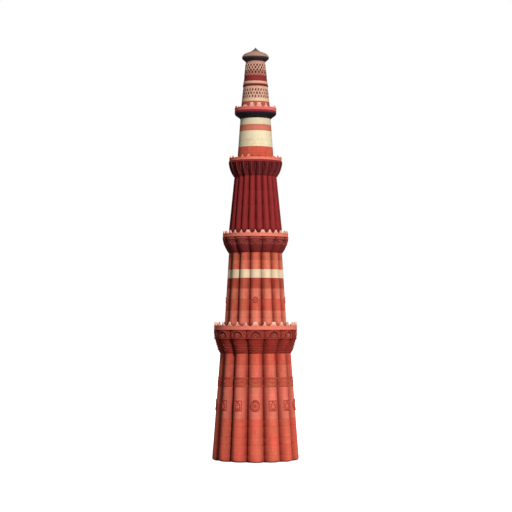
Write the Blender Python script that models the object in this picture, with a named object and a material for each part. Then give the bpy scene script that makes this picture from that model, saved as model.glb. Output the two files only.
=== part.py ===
"""Fluted masonry minaret of five storeys and four balconies, at half its real size.

Metres, +Z up. The origin is the centre of the foot, and -Y is the front. Azimuths are
measured from the front, turning towards +X, so the doorways are near azimuth 180.
"""

import math
from dataclasses import dataclass

import bmesh
import bpy

GAP = 0.0003  # left between pieces that rest on each other

# Levels of the five storeys: each stands on a floor and ends under a corbel.
GROUND_FLOOR_TOP = 0.12
STOREY_1_TOP = 9.30
FRIEZE_1_BASE = 10.54
DECK_1 = 11.50
BAND_2_BASE = 15.83
BAND_2_TOP = 16.57
STOREY_2_TOP = 18.05
FRIEZE_2_BASE = 19.12
DECK_2 = 19.58
STOREY_3_TOP = 24.78
DECK_3 = 26.27
STOREY_4_BASE_TOP = 27.35
MARBLE_4_TOP = 28.74
SALMON_4_TOP = 29.31
STOREY_4_TOP = 29.88
DECK_4 = 30.52
STOREY_5_BASE_TOP = 31.36
MARBLE_5_TOP = 31.60
LATTICE_LOWER_TOP = 32.71
ROLL_TOP = 32.91
PALE_BAND_TOP = 33.16
RED_BAND_TOP = 33.68
STOREY_5_TOP = 34.96
EAVE_TOP = 35.28
ROOF_TOP = 35.87
FINIAL_TOP = 36.25

FLOOR_THICKNESS = 0.16
FLOOR_CLEARANCE = 0.01  # keeps a round floor clear of the parapet's flat sides
FLOOR_SIDES = 56
GROUND_FLOOR_SIDES = 48
ROLL_PROUD = 0.045  # how far the fifth storey's roll stands out of its wall

# Finishes: colour and roughness.
FINISHES = {
    "salmon_sandstone": ((0.72, 0.20, 0.14), 0.85),
    "light_salmon_sandstone": ((0.85, 0.30, 0.22), 0.85),
    "red_sandstone": ((0.60, 0.13, 0.08), 0.85),
    "dark_red_sandstone": ((0.24, 0.045, 0.03), 0.85),
    "crimson_sandstone": ((0.32, 0.035, 0.04), 0.85),
    "dark_crimson_sandstone": ((0.16, 0.02, 0.02), 0.85),
    "red_parapet": ((0.62, 0.10, 0.09), 0.85),
    "carved_lattice": ((0.66, 0.36, 0.26), 0.85),
    "cream_marble": ((0.88, 0.74, 0.50), 0.6),
    "slate_moulding": ((0.035, 0.03, 0.04), 0.6),
    "brown_roof": ((0.33, 0.22, 0.16), 0.7),
    "floor_stone": ((0.42, 0.33, 0.28), 0.85),
}
SMOOTH_ANGLE = math.radians(35)  # edges that turn by less than this are shaded smooth


@dataclass(frozen=True)
class Plan:
    """How a wall's outline repeats round the tower.

    A sector is one flute, or one facet of a round wall. Its outer line has outer_steps
    sides, and its inner line has inner_steps.
    """

    sectors: int
    turn: float = 0.0  # in sectors: 0 puts a flute's crest at the front, 0.5 a valley
    valley_share: float = 1.0  # radius in the valley over radius at the crest
    outer_steps: int = 6
    inner_steps: int = 2

    @property
    def step(self):
        """Angle that a sector takes round the tower."""
        return 2 * math.pi / self.sectors

    def azimuth(self, sector):
        """Azimuth of a sector's middle."""
        return (sector + self.turn) * self.step


@dataclass(frozen=True)
class Course:
    """The wall's outline at one height: crest is its outer radius and bore its inner one."""

    z: float
    crest: float
    bore: float
    valley_share: float = None  # the plan's own, unless it is given here


@dataclass(frozen=True)
class Doorway:
    """A pointed doorway that stands on a floor, seen from outside on its own azimuth."""

    sill: float
    width: float
    spring: float  # height of the jambs
    rise: float  # from the jambs' top to the arch's point
    azimuth: float = math.pi

    @property
    def head_base(self):
        """Height of the jambs' top."""
        return self.sill + self.spring


@dataclass(frozen=True)
class Segments:
    """Sectors of the three segments of a storey's wall, and those that its doorway is in."""

    front: range
    right: range
    left: range
    door: range


FLUTED = Plan(sectors=14, valley_share=0.87)
RIBBED = Plan(sectors=20, turn=0.5, valley_share=0.90, outer_steps=5, inner_steps=1)
ROUND = Plan(sectors=24, outer_steps=2, inner_steps=1)

FLUTED_SEGMENTS = Segments(range(-1, 2), range(2, 8), range(7, 13), range(7, 8))
RIBBED_SEGMENTS = Segments(range(-2, 2), range(2, 10), range(10, 18), range(9, 11))
ROUND_DOOR_SECTORS = range(11, 14)

# Each storey's wall at its foot and at its top.
WALL_1 = (Course(0.0, 3.88, 2.15), Course(STOREY_1_TOP, 3.15, 1.80))
WALL_2 = (Course(DECK_1, 2.77, 1.55), Course(STOREY_2_TOP, 2.375, 1.38))
WALL_3 = (Course(DECK_2, 2.40, 1.28), Course(STOREY_3_TOP, 1.87, 1.10))
WALL_4 = (Course(DECK_3, 1.60, 0.98), Course(STOREY_4_TOP, 1.335, 0.85))
WALL_5 = (Course(DECK_4, 1.31, 0.80), Course(STOREY_5_TOP, 0.85, 0.55))
FOOT_ROUNDING = ((0.0, 0.24), (0.07, 0.09), (0.20, 0.0))  # height, and how far the foot draws in

# Profiles of the corbels from the bottom up: height, radius on a flute's crest and, on a
# fluted one, valley share.
CUP_1 = (
    (STOREY_1_TOP + GAP, 3.18, 0.87),
    (9.60, 3.32, 0.87),
    (9.90, 3.41, 0.88),
    (10.25, 3.51, 0.90),
    (FRIEZE_1_BASE, 3.60, 0.92),
)
FRIEZE_1 = (
    (FRIEZE_1_BASE + GAP, 3.67, 0.95),
    (DECK_1 - FLOOR_THICKNESS, 3.69, 0.96),
)
CUP_2 = (
    (STOREY_2_TOP + GAP, 2.41, 0.87),
    (18.28, 2.57, 0.88),
    (18.64, 2.75, 0.90),
    (FRIEZE_2_BASE, 2.89, 0.92),
)
FRIEZE_2 = (
    (FRIEZE_2_BASE + GAP, 2.92, 0.95),
    (DECK_2 - FLOOR_THICKNESS, 2.94, 0.96),
)
CUP_3 = (
    (STOREY_3_TOP + GAP, 1.90, 0.90),
    (25.04, 2.06, 0.91),
    (25.39, 2.22, 0.92),
    (25.80, 2.33, 0.94),
    (DECK_3 - FLOOR_THICKNESS, 2.355, 0.96),
)
MOULDING_4 = (
    (STOREY_4_TOP + GAP, 1.37),
    (29.98, 1.45),
    (30.14, 1.68),
    (30.25, 1.80),
    (DECK_4 - FLOOR_THICKNESS, 1.84),
)

# Profiles of the cap's three solids, out from the axis and back to it: radius and height.
EAVE = (
    (0.0, STOREY_5_TOP + GAP),
    (0.87, STOREY_5_TOP + GAP),
    (1.03, 35.09),
    (1.13, 35.17),
    (1.18, 35.24),
    (1.185, EAVE_TOP),
    (0.0, EAVE_TOP),
)
ROOF = (
    (0.0, EAVE_TOP + GAP),
    (1.185, EAVE_TOP + GAP),
    (1.18, 35.38),
    (1.14, 35.48),
    (0.98, 35.65),
    (0.74, 35.76),
    (0.46, ROOF_TOP),
    (0.0, ROOF_TOP),
)
FINIAL = (
    (0.0, ROOF_TOP + GAP),
    (0.42, ROOF_TOP + GAP),
    (0.33, 35.95),
    (0.19, 36.05),
    (0.08, 36.16),
    (0.0, FINIAL_TOP),
)
CAP_SIDES = 48
FINIAL_SIDES = 24

MAIN_DOOR = Doorway(sill=0.0, width=0.66, spring=0.95, rise=0.36)
BALCONY_DOOR_WIDTH = 0.42
BALCONY_DOOR_SPRING = 0.57
BALCONY_DOOR_RISE = 0.23
ARCH_SEAT = 0.02  # width of the ledge that each foot of an arch stands on
ARCH_SIDES = 5  # straight sides in each half of an arch
ARCH_SKIRT = 0.2  # how far an arch's cutter runs down past the jambs' top
CUTTER_REACH = 0.5  # how far a cutter runs past the wall that it cuts
PAST_SECTOR = 1.2  # width, in sectors, of a cutter that clears a whole one


def direction(azimuth):
    """Unit vector in plan at an azimuth measured from the front."""
    return math.sin(azimuth), -math.cos(azimuth)


def between(courses, z):
    """The course at height z of a wall given by its lowest and highest course."""
    low, high = courses
    share = (z - low.z) / (high.z - low.z)
    crest = low.crest + share * (high.crest - low.crest)
    return Course(z, crest, low.bore + share * (high.bore - low.bore))


def resting(course):
    """The same course, a gap higher, for a piece that rests on the one below."""
    return Course(course.z + GAP, course.crest, course.bore, course.valley_share)


def courses_of(profile, bore):
    """Courses with an upright bore, from a corbel's profile."""
    return [Course(z, crest, bore, *share) for z, crest, *share in profile]


def sector_line(plan, course, sector):
    """Outer points of one sector in plan, from one valley to the next."""
    middle = plan.azimuth(sector)
    shares = [i / plan.outer_steps - 0.5 for i in range(plan.outer_steps + 1)]
    valley_share = course.valley_share or plan.valley_share
    if valley_share == 1.0:
        directions = [direction(middle + plan.step * share) for share in shares]
        return [(course.crest * x, course.crest * y) for x, y in directions]
    valley = course.crest * valley_share
    half_chord = valley * math.sin(plan.step / 2)
    chord_radius = valley * math.cos(plan.step / 2)
    sagitta = course.crest - chord_radius
    bend = (half_chord**2 + sagitta**2) / (2 * sagitta)
    centre = course.crest - bend
    turn = 2 * math.atan2(half_chord, chord_radius - centre)
    cx, cy = direction(middle)
    line = []
    for share in shares:
        dx, dy = direction(middle + turn * share)
        line.append((centre * cx + bend * dx, centre * cy + bend * dy))
    return line


def inner_line(plan, course, sector):
    """Inner points of one sector in plan."""
    start = plan.azimuth(sector) - plan.step / 2
    azimuths = [start + plan.step * i / plan.inner_steps for i in range(plan.inner_steps + 1)]
    return [(course.bore * x, course.bore * y) for x, y in map(direction, azimuths)]


def chained(lines, closed):
    """Joins the lines of neighbouring sectors into one, each shared end once."""
    points = [point for line in lines for point in line[:-1]]
    return points if closed else points + [lines[-1][-1]]


def drawn_in(points, plan, sectors):
    """Moves both ends of an open line in by half a gap, along the wall."""
    first = direction(plan.azimuth(sectors[0] - 0.5) + math.pi / 2)
    last = direction(plan.azimuth(sectors[-1] + 0.5) - math.pi / 2)
    for index, along in ((0, first), (-1, last)):
        points[index] = tuple(p + GAP / 2 * d for p, d in zip(points[index], along))
    return points


def stretch(row, start, count):
    """The corners of count sides of a row, which may run past the row's end."""
    return [row[(start + i) % len(row)] for i in range(count + 1)]


def material(name):
    """The Principled material of a finish, made once."""
    found = bpy.data.materials.get(name)
    if found:
        return found
    colour, roughness = FINISHES[name]
    made = bpy.data.materials.new(name)
    made.use_nodes = True
    shader = made.node_tree.nodes["Principled BSDF"]
    shader.inputs["Base Color"].default_value = (*colour, 1.0)
    shader.inputs["Roughness"].default_value = roughness
    shader.inputs["Metallic"].default_value = 0.0
    made.diffuse_color = (*colour, 1.0)
    return made


def placed(bm, name, base, finish=None):
    """Turns a bmesh, whose heights start at base, into an object that stands at base."""
    bmesh.ops.translate(bm, verts=bm.verts, vec=(0, 0, -base))
    bmesh.ops.recalc_face_normals(bm, faces=bm.faces)
    mesh = bpy.data.meshes.new(name)
    bm.to_mesh(mesh)
    bm.free()
    mesh.shade_smooth()
    mesh.set_sharp_from_angle(angle=SMOOTH_ANGLE)
    if finish:
        mesh.materials.append(material(finish))
    made = bpy.data.objects.new(name, mesh)
    made.location.z = base
    made.parent = bpy.data.objects["minaret"]
    bpy.context.scene.collection.objects.link(made)
    return made


def masonry(name, plan, courses, finish, sectors=None):
    """A wall of the given sectors, or of all of them, lofted through its courses."""
    closed = sectors is None
    sectors = range(plan.sectors) if closed else sectors
    bm = bmesh.new()

    def row(line, course):
        points = chained([line(plan, course, sector) for sector in sectors], closed)
        points = points if closed else drawn_in(points, plan, sectors)
        return [bm.verts.new((x, y, course.z)) for x, y in points]

    outer = [row(sector_line, course) for course in courses]
    inner = [row(inner_line, course) for course in (courses[0], courses[-1])]
    for rows in (outer, inner):
        count = len(rows[0])
        for lower, upper in zip(rows, rows[1:]):
            for i in range(count if closed else count - 1):
                j = (i + 1) % count
                bm.faces.new((lower[i], lower[j], upper[j], upper[i]))
    for outer_row, inner_row in ((outer[0], inner[0]), (outer[-1], inner[1])):
        for number in range(len(sectors)):
            outside = stretch(outer_row, number * plan.outer_steps, plan.outer_steps)
            inside = stretch(inner_row, number * plan.inner_steps, plan.inner_steps)
            bm.faces.new(outside + inside[::-1])
    if not closed:
        for end in (0, -1):
            bm.faces.new([r[end] for r in outer] + [inner[1][end], inner[0][end]])
    return placed(bm, name, courses[0].z, finish)


def prism(name, outline, near, far, azimuth):
    """A cutter: an outline in width and height, run along an azimuth from near to far."""
    ax, ay = direction(azimuth)
    wx, wy = direction(azimuth + math.pi / 2)
    bm = bmesh.new()
    ends = [
        [bm.verts.new((reach * ax + w * wx, reach * ay + w * wy, z)) for w, z in outline]
        for reach in (near, far)
    ]
    bm.faces.new(ends[0])
    bm.faces.new(ends[1][::-1])
    for i, corner in enumerate(ends[0]):
        j = (i + 1) % len(outline)
        bm.faces.new((corner, ends[0][j], ends[1][j], ends[1][i]))
    made = placed(bm, name, 0.0)
    made.hide_render = True
    made.display_type = "WIRE"
    return made


def boolean(target, cutter, operation):
    """Adds a Boolean modifier to the target."""
    modifier = target.modifiers.new(cutter.name, "BOOLEAN")
    modifier.object = cutter
    modifier.operation = operation
    modifier.solver = "EXACT"


def through(name, outline, door, courses):
    """A cutter that runs through a wall on its doorway's azimuth."""
    return prism(name, outline, courses[-1].bore / 2, courses[0].crest + CUTTER_REACH, door.azimuth)


def upright_slot(name, door, left, right, courses):
    """A cutter taller than its wall, between two widths measured across the doorway."""
    low, high = courses[0].z - CUTTER_REACH, courses[-1].z + CUTTER_REACH
    return through(name, [(left, low), (right, low), (right, high), (left, high)], door, courses)


def arch_outline(door):
    """A pointed arch on the jambs' top, drawn wider than it is deep and open downwards."""
    half = door.width / 2 - ARCH_SEAT
    # Each side is an arc whose centre lies on the springing line, past the middle.
    radius = (half**2 + door.rise**2) / (2 * half)
    sweep = math.asin(door.rise / radius)
    right = []
    for i in range(ARCH_SIDES + 1):
        angle = sweep * i / ARCH_SIDES
        right.append((half - radius + radius * math.cos(angle), door.head_base + radius * math.sin(angle)))
    left = [(-w, z) for w, z in right[-2::-1]]
    below = door.head_base - ARCH_SKIRT
    return [(-half, below), (half, below), *right, *left]


def over_door(name, plan, courses, door, sectors, finish):
    """The block of wall over a doorway, between the two walls beside it."""
    head = [resting(between(courses, door.head_base)), courses[-1]]
    block = masonry(name, plan, head, finish, sectors)
    half = door.width / 2 - GAP
    boolean(block, upright_slot(name + "_slot", door, -half, half, courses), "INTERSECT")
    boolean(block, through(name + "_arch", arch_outline(door), door, courses), "DIFFERENCE")


def storey_wall(prefix, plan, courses, door, segments, finish):
    """A storey's wall in three segments and the block over its doorway."""
    raised = [resting(courses[0]) if courses[0].z else courses[0], *courses[1:]]
    ends = (courses[0], courses[-1])
    masonry(prefix + "_wall_front", plan, raised, finish, segments.front)
    half = door.width / 2
    wide = PAST_SECTOR * plan.step * courses[0].crest
    right = masonry(prefix + "_wall_right", plan, raised, finish, segments.right)
    boolean(right, upright_slot(prefix + "_jamb_right", door, -half, wide, ends), "DIFFERENCE")
    left = masonry(prefix + "_wall_left", plan, raised, finish, segments.left)
    boolean(left, upright_slot(prefix + "_jamb_left", door, -wide, half, ends), "DIFFERENCE")
    over_door(prefix + "_over_door", plan, ends, door, segments.door, finish)


def open_ring(prefix, courses, door, finish):
    """A round base course with a doorway, and the block over the doorway."""
    ring = masonry(prefix + "_base", ROUND, [resting(courses[0]), courses[1]], finish)
    half = door.width / 2
    boolean(ring, upright_slot(prefix + "_slot", door, -half, half, courses), "DIFFERENCE")
    over_door(prefix + "_over_door", ROUND, courses, door, ROUND_DOOR_SECTORS, finish)


def stacked_ring(name, plan, wall, low, high, finish):
    """A full ring of a storey's wall between two heights."""
    return masonry(name, plan, [resting(between(wall, low)), between(wall, high)], finish)


def ground_floor(finish):
    """The slab inside the foot, with a tongue that runs out through the doorway."""
    facet = FLUTED.step / FLUTED.inner_steps
    radius = (between(WALL_1, GROUND_FLOOR_TOP).bore - GAP) * math.cos(facet / 2)
    half = MAIN_DOOR.width / 2 - GAP
    start = math.asin(half / radius)
    sweep = 2 * math.pi - 2 * start
    sides = GROUND_FLOOR_SIDES
    rim = [direction(MAIN_DOOR.azimuth + start + sweep * i / sides) for i in range(sides + 1)]
    tongue_end = WALL_1[0].crest - FOOT_ROUNDING[0][1]
    outline = [(radius * x, radius * y) for x, y in rim]
    outline += [(half, tongue_end), (-half, tongue_end)]
    bm = bmesh.new()
    low = [bm.verts.new((x, y, 0.0)) for x, y in outline]
    high = [bm.verts.new((x, y, GROUND_FLOOR_TOP)) for x, y in outline]
    bm.faces.new(low)
    bm.faces.new(high)
    for i, corner in enumerate(low):
        j = (i + 1) % len(low)
        bm.faces.new((corner, low[j], high[j], high[i]))
    return placed(bm, "ground_floor", 0.0, finish)


@dataclass(frozen=True)
class Parapet:
    """A ring with merlons that have hollow flanks. It stands on the corbel, round the floor."""

    name: str
    deck: float
    radius: float
    thickness: float
    ring_height: float
    merlon_height: float
    merlons: int
    foot: float  # widths in shares of the merlons' spacing
    waist: float
    tip: float
    turn: float = 0.0  # in merlons, from the front
    waist_level: float = 0.35  # in shares of the merlons' height

    def top_line(self):
        """(azimuth, height) along the top edge, once round."""
        spacing = 2 * math.pi / self.merlons
        half_shape = ((self.foot / 2, 0.0), (self.waist / 2, self.waist_level), (self.tip / 2, 1.0))
        shape = [(-offset, level) for offset, level in half_shape] + list(half_shape[::-1])
        line = []
        for merlon in range(self.merlons):
            middle = (merlon + self.turn) * spacing
            for offset, level in shape:
                line.append((middle + offset * spacing, self.ring_height + level * self.merlon_height))
        return line

    def build(self, finish):
        """Makes the ring with its merlons as one solid."""
        bm = bmesh.new()
        base = self.deck - FLOOR_THICKNESS + GAP
        inner = self.radius - self.thickness
        columns = []
        for azimuth, height in self.top_line():
            x, y = direction(azimuth)
            top = self.deck + height
            section = ((self.radius, base), (self.radius, top), (inner, top), (inner, base))
            columns.append([bm.verts.new((r * x, r * y, z)) for r, z in section])
        for i, column in enumerate(columns):
            following = columns[(i + 1) % len(columns)]
            for a in range(4):
                b = (a + 1) % 4
                bm.faces.new((column[a], following[a], following[b], column[b]))
        return placed(bm, self.name + "_parapet", base, finish)

    def build_floor(self, finish):
        """Makes the floor inside the ring."""
        radius = self.radius - self.thickness - FLOOR_CLEARANCE
        low = self.deck - FLOOR_THICKNESS
        depth = FLOOR_THICKNESS - GAP
        bm = bmesh.new()
        bmesh.ops.create_cone(
            bm, cap_ends=True, segments=FLOOR_SIDES, radius1=radius, radius2=radius, depth=depth
        )
        bmesh.ops.translate(bm, verts=bm.verts, vec=(0, 0, low + GAP + depth / 2))
        return placed(bm, self.name + "_floor", low, finish)


PARAPET_1 = Parapet(
    name="balcony_1",
    deck=DECK_1,
    radius=3.64,
    thickness=0.15,
    ring_height=0.15,
    merlon_height=0.37,
    merlons=28,
    foot=0.84,
    waist=0.34,
    tip=0.12,
)
PARAPET_2 = Parapet(
    name="balcony_2",
    deck=DECK_2,
    radius=2.88,
    thickness=0.14,
    ring_height=0.12,
    merlon_height=0.28,
    merlons=28,
    foot=0.80,
    waist=0.36,
    tip=0.18,
)
PARAPET_3 = Parapet(
    name="balcony_3",
    deck=DECK_3,
    radius=2.32,
    thickness=0.13,
    ring_height=0.07,
    merlon_height=0.23,
    merlons=24,
    foot=0.78,
    waist=0.34,
    tip=0.16,
)
PARAPET_4 = Parapet(
    name="balcony_4",
    deck=DECK_4,
    radius=1.845,
    thickness=0.12,
    ring_height=0.27,
    merlon_height=0.37,
    merlons=18,
    foot=0.56,
    waist=0.46,
    tip=0.24,
    turn=0.5,
)


def turned(name, profile, sides, finish):
    """A solid of revolution. The profile runs from the axis at the bottom to the axis at the top."""
    directions = [direction(2 * math.pi * i / sides) for i in range(sides)]
    bm = bmesh.new()
    bottom = bm.verts.new((0, 0, profile[0][1]))
    top = bm.verts.new((0, 0, profile[-1][1]))
    rings = []
    for radius, z in profile[1:-1]:
        rings.append([bm.verts.new((radius * x, radius * y, z)) for x, y in directions])
    for i in range(sides):
        j = (i + 1) % sides
        bm.faces.new((bottom, rings[0][j], rings[0][i]))
        bm.faces.new((top, rings[-1][i], rings[-1][j]))
        for lower, upper in zip(rings, rings[1:]):
            bm.faces.new((lower[i], lower[j], upper[j], upper[i]))
    return placed(bm, name, profile[0][1], finish)


def balcony_door(deck):
    """The doorway from a storey onto its balcony."""
    return Doorway(deck, BALCONY_DOOR_WIDTH, BALCONY_DOOR_SPRING, BALCONY_DOOR_RISE)


def storey_1():
    """The lowest storey: its fluted wall, drawn in at the foot, and the floor inside."""
    foot = []
    for z, inset in FOOT_ROUNDING:
        course = between(WALL_1, z)
        foot.append(Course(z, course.crest - inset, course.bore))
    courses = [*foot, WALL_1[1]]
    storey_wall("storey_1", FLUTED, courses, MAIN_DOOR, FLUTED_SEGMENTS, "salmon_sandstone")
    ground_floor("floor_stone")


def fluted_corbel(prefix, cup, frieze, bore):
    """A fluted cup with a frieze on it."""
    masonry(prefix + "_cup", FLUTED, courses_of(cup, bore), "dark_red_sandstone")
    masonry(prefix + "_frieze", FLUTED, courses_of(frieze, bore), "dark_red_sandstone")


def balcony(parapet, finish):
    """A balcony's floor and its parapet."""
    parapet.build_floor("floor_stone")
    parapet.build(finish)


def storey_2():
    """The second storey: fluted salmon stone with a marble band near its top."""
    lower = [WALL_2[0], between(WALL_2, BAND_2_BASE)]
    storey_wall("storey_2", FLUTED, lower, balcony_door(DECK_1), FLUTED_SEGMENTS, "salmon_sandstone")
    stacked_ring("storey_2_marble_band", FLUTED, WALL_2, BAND_2_BASE, BAND_2_TOP, "cream_marble")
    stacked_ring("storey_2_upper_wall", FLUTED, WALL_2, BAND_2_TOP, STOREY_2_TOP, "salmon_sandstone")


def storey_3():
    """The third storey, with narrow crimson ribs."""
    storey_wall("storey_3", RIBBED, WALL_3, balcony_door(DECK_2), RIBBED_SEGMENTS, "crimson_sandstone")


def storey_4():
    """The fourth storey: a round red base, marble, a salmon band and marble again."""
    base = (WALL_4[0], between(WALL_4, STOREY_4_BASE_TOP))
    open_ring("storey_4", base, balcony_door(DECK_3), "red_sandstone")
    for part, low, high, finish in (
        ("lower_marble", STOREY_4_BASE_TOP, MARBLE_4_TOP, "cream_marble"),
        ("salmon_band", MARBLE_4_TOP, SALMON_4_TOP, "salmon_sandstone"),
        ("upper_marble", SALMON_4_TOP, STOREY_4_TOP, "cream_marble"),
    ):
        stacked_ring("storey_4_" + part, ROUND, WALL_4, low, high, finish)


def storey_5():
    """The fifth storey: a round red base, bands, two lattices and a proud roll."""
    base = (WALL_5[0], between(WALL_5, STOREY_5_BASE_TOP))
    open_ring("storey_5", base, balcony_door(DECK_4), "red_sandstone")
    for part, low, high, finish in (
        ("marble_band", STOREY_5_BASE_TOP, MARBLE_5_TOP, "cream_marble"),
        ("lower_lattice", MARBLE_5_TOP, LATTICE_LOWER_TOP, "carved_lattice"),
        ("pale_band", ROLL_TOP, PALE_BAND_TOP, "cream_marble"),
        ("red_band", PALE_BAND_TOP, RED_BAND_TOP, "crimson_sandstone"),
        ("upper_lattice", RED_BAND_TOP, STOREY_5_TOP, "carved_lattice"),
    ):
        stacked_ring("storey_5_" + part, ROUND, WALL_5, low, high, finish)
    low, high = between(WALL_5, LATTICE_LOWER_TOP), between(WALL_5, ROLL_TOP)
    middle = between(WALL_5, (low.z + high.z) / 2)
    proud = Course(middle.z, middle.crest + ROLL_PROUD, middle.bore)
    masonry("storey_5_roll", ROUND, [resting(low), proud, high], "dark_red_sandstone")


def cap():
    """The dark eave, the roof on it and the pointed finial."""
    turned("cap_eave", EAVE, CAP_SIDES, "slate_moulding")
    turned("cap_roof", ROOF, CAP_SIDES, "brown_roof")
    turned("finial", FINIAL, FINIAL_SIDES, "brown_roof")


def main():
    """Builds the minaret from the ground up."""
    for old in list(bpy.data.objects):
        bpy.data.objects.remove(old)
    root = bpy.data.objects.new("minaret", None)
    bpy.context.scene.collection.objects.link(root)
    storey_1()
    fluted_corbel("corbel_1", CUP_1, FRIEZE_1, WALL_1[1].bore)
    balcony(PARAPET_1, "light_salmon_sandstone")
    storey_2()
    fluted_corbel("corbel_2", CUP_2, FRIEZE_2, WALL_2[1].bore)
    balcony(PARAPET_2, "light_salmon_sandstone")
    storey_3()
    masonry("corbel_3", RIBBED, courses_of(CUP_3, WALL_3[1].bore), "dark_crimson_sandstone")
    balcony(PARAPET_3, "light_salmon_sandstone")
    storey_4()
    masonry("corbel_4_moulding", ROUND, courses_of(MOULDING_4, WALL_4[1].bore), "slate_moulding")
    balcony(PARAPET_4, "red_parapet")
    storey_5()
    cap()


main()
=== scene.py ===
"""Dresses the fluted masonry minaret: five storeys, four balconies and a cap.

Metres, +Z up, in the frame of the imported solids. The front is -Y, and an azimuth is
measured from the front, turning towards +X, so the doorways are at azimuth 180 degrees.
"""

import logging
import math
from collections.abc import Callable, Iterable, Sequence
from dataclasses import dataclass, field, replace
from enum import Enum

import bmesh
import bpy
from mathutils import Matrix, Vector


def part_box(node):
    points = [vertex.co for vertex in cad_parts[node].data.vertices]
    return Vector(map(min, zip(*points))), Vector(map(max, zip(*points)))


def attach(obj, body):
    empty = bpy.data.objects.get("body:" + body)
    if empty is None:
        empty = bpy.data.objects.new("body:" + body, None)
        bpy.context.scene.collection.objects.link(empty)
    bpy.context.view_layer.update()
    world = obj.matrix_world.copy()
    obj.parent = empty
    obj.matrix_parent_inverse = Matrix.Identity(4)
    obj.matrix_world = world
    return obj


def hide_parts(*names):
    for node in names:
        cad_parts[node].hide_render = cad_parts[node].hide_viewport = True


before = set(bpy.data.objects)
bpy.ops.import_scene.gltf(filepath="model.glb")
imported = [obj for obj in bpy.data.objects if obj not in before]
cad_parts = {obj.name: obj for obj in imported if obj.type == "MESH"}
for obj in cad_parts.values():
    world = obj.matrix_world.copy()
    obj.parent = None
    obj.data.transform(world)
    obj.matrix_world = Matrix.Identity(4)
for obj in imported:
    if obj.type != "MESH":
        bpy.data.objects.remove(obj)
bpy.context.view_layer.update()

log = logging.getLogger("minaret")

Colour = tuple[float, float, float]
Where = Callable[[Vector], bool]
Socket = bpy.types.NodeSocket
Values = dict[int | str, object]

WELD = 0.0004  # points this close become one
LEVEL = 0.0008  # heights this close are one level
ASIDE = 1.0  # how far from its place an inner rim is bridged
BEHIND = 1.02  # how far behind its crest a flute's circle is cut, in shares of its rise
BAR_RUN = 0.07  # longest straight run of a bar that is to be bent
SLAB_RUN = 0.08  # widest facet of a block that is to be bent
BAR_SIDES = 6
SHARP = 35.0  # edges that turn by more than this many degrees stay sharp
COURSE_FIELDS = ("z", "crest", "valley")
BODY = "root"


class Kind(Enum):
    """What is picked in edit mode."""

    POINTS = "VERT"
    RIMS = "EDGE"


@dataclass(frozen=True)
class Course:
    """A fluted or round outline at one height.

    crest is its radius on a flute's crest, and valley its radius between two flutes as a
    share of that. A round outline has no use for valley.
    """

    z: float
    crest: float
    valley: float = 1.0


@dataclass(frozen=True)
class Batter:
    """A wall that leans in evenly from its foot to its head."""

    foot: float
    head: float
    foot_crest: float
    head_crest: float

    def crest(self, z: float) -> float:
        """Radius on the crests at height z."""
        share = (z - self.foot) / (self.head - self.foot)
        return self.foot_crest + share * (self.head_crest - self.foot_crest)

    def sunk(self, depth: float) -> "Batter":
        """The same face, this much further in."""
        return replace(self, foot_crest=self.foot_crest - depth, head_crest=self.head_crest - depth)

    def rate(self, z: float) -> float:
        """How much the plan grows with each metre of height, as a share of its size at z."""
        return (self.head_crest - self.foot_crest) / (self.head - self.foot) / self.crest(z)


@dataclass(frozen=True)
class Flutes:
    """Rounded flutes side by side round the tower.

    turn is in flutes: 0 puts a crest at the front, and 0.5 a valley.
    """

    count: int
    valley: float
    turn: float = 0.0

    @property
    def half(self) -> float:
        """Half the angle that one flute takes round the tower."""
        return math.pi / self.count

    def shape(self, crest: float, valley: float | None = None) -> tuple[float, float, float]:
        """A flute's own curve in plan.

        Args:
            crest: radius on its crest.
            valley: radius share between flutes, or None for the usual one.

        Returns:
            Its radius of bend, half its chord, and how far it rises over the chord.
        """
        edge = crest * (valley or self.valley)
        chord = edge * math.sin(self.half)
        rise = crest - edge * math.cos(self.half)
        return (chord**2 + rise**2) / (2 * rise), chord, rise

    def width(self, crest: float, valley: float | None = None) -> float:
        """Length of a flute's curve from valley to valley."""
        bend, chord, rise = self.shape(crest, valley)
        return 2 * bend * math.atan2(chord, bend - rise)

    def others(self, taken: Sequence[int]) -> list[int]:
        """Numbers of the flutes that aren't taken, from the front."""
        return [number for number in range(self.count) if number not in taken]

    def azimuths(self, picked: Iterable[int] | None = None) -> list[float]:
        """Azimuths of the crests, of all or of the picked ones."""
        numbers = range(self.count) if picked is None else picked
        return [(number + self.turn) * 2 * self.half for number in numbers]


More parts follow.
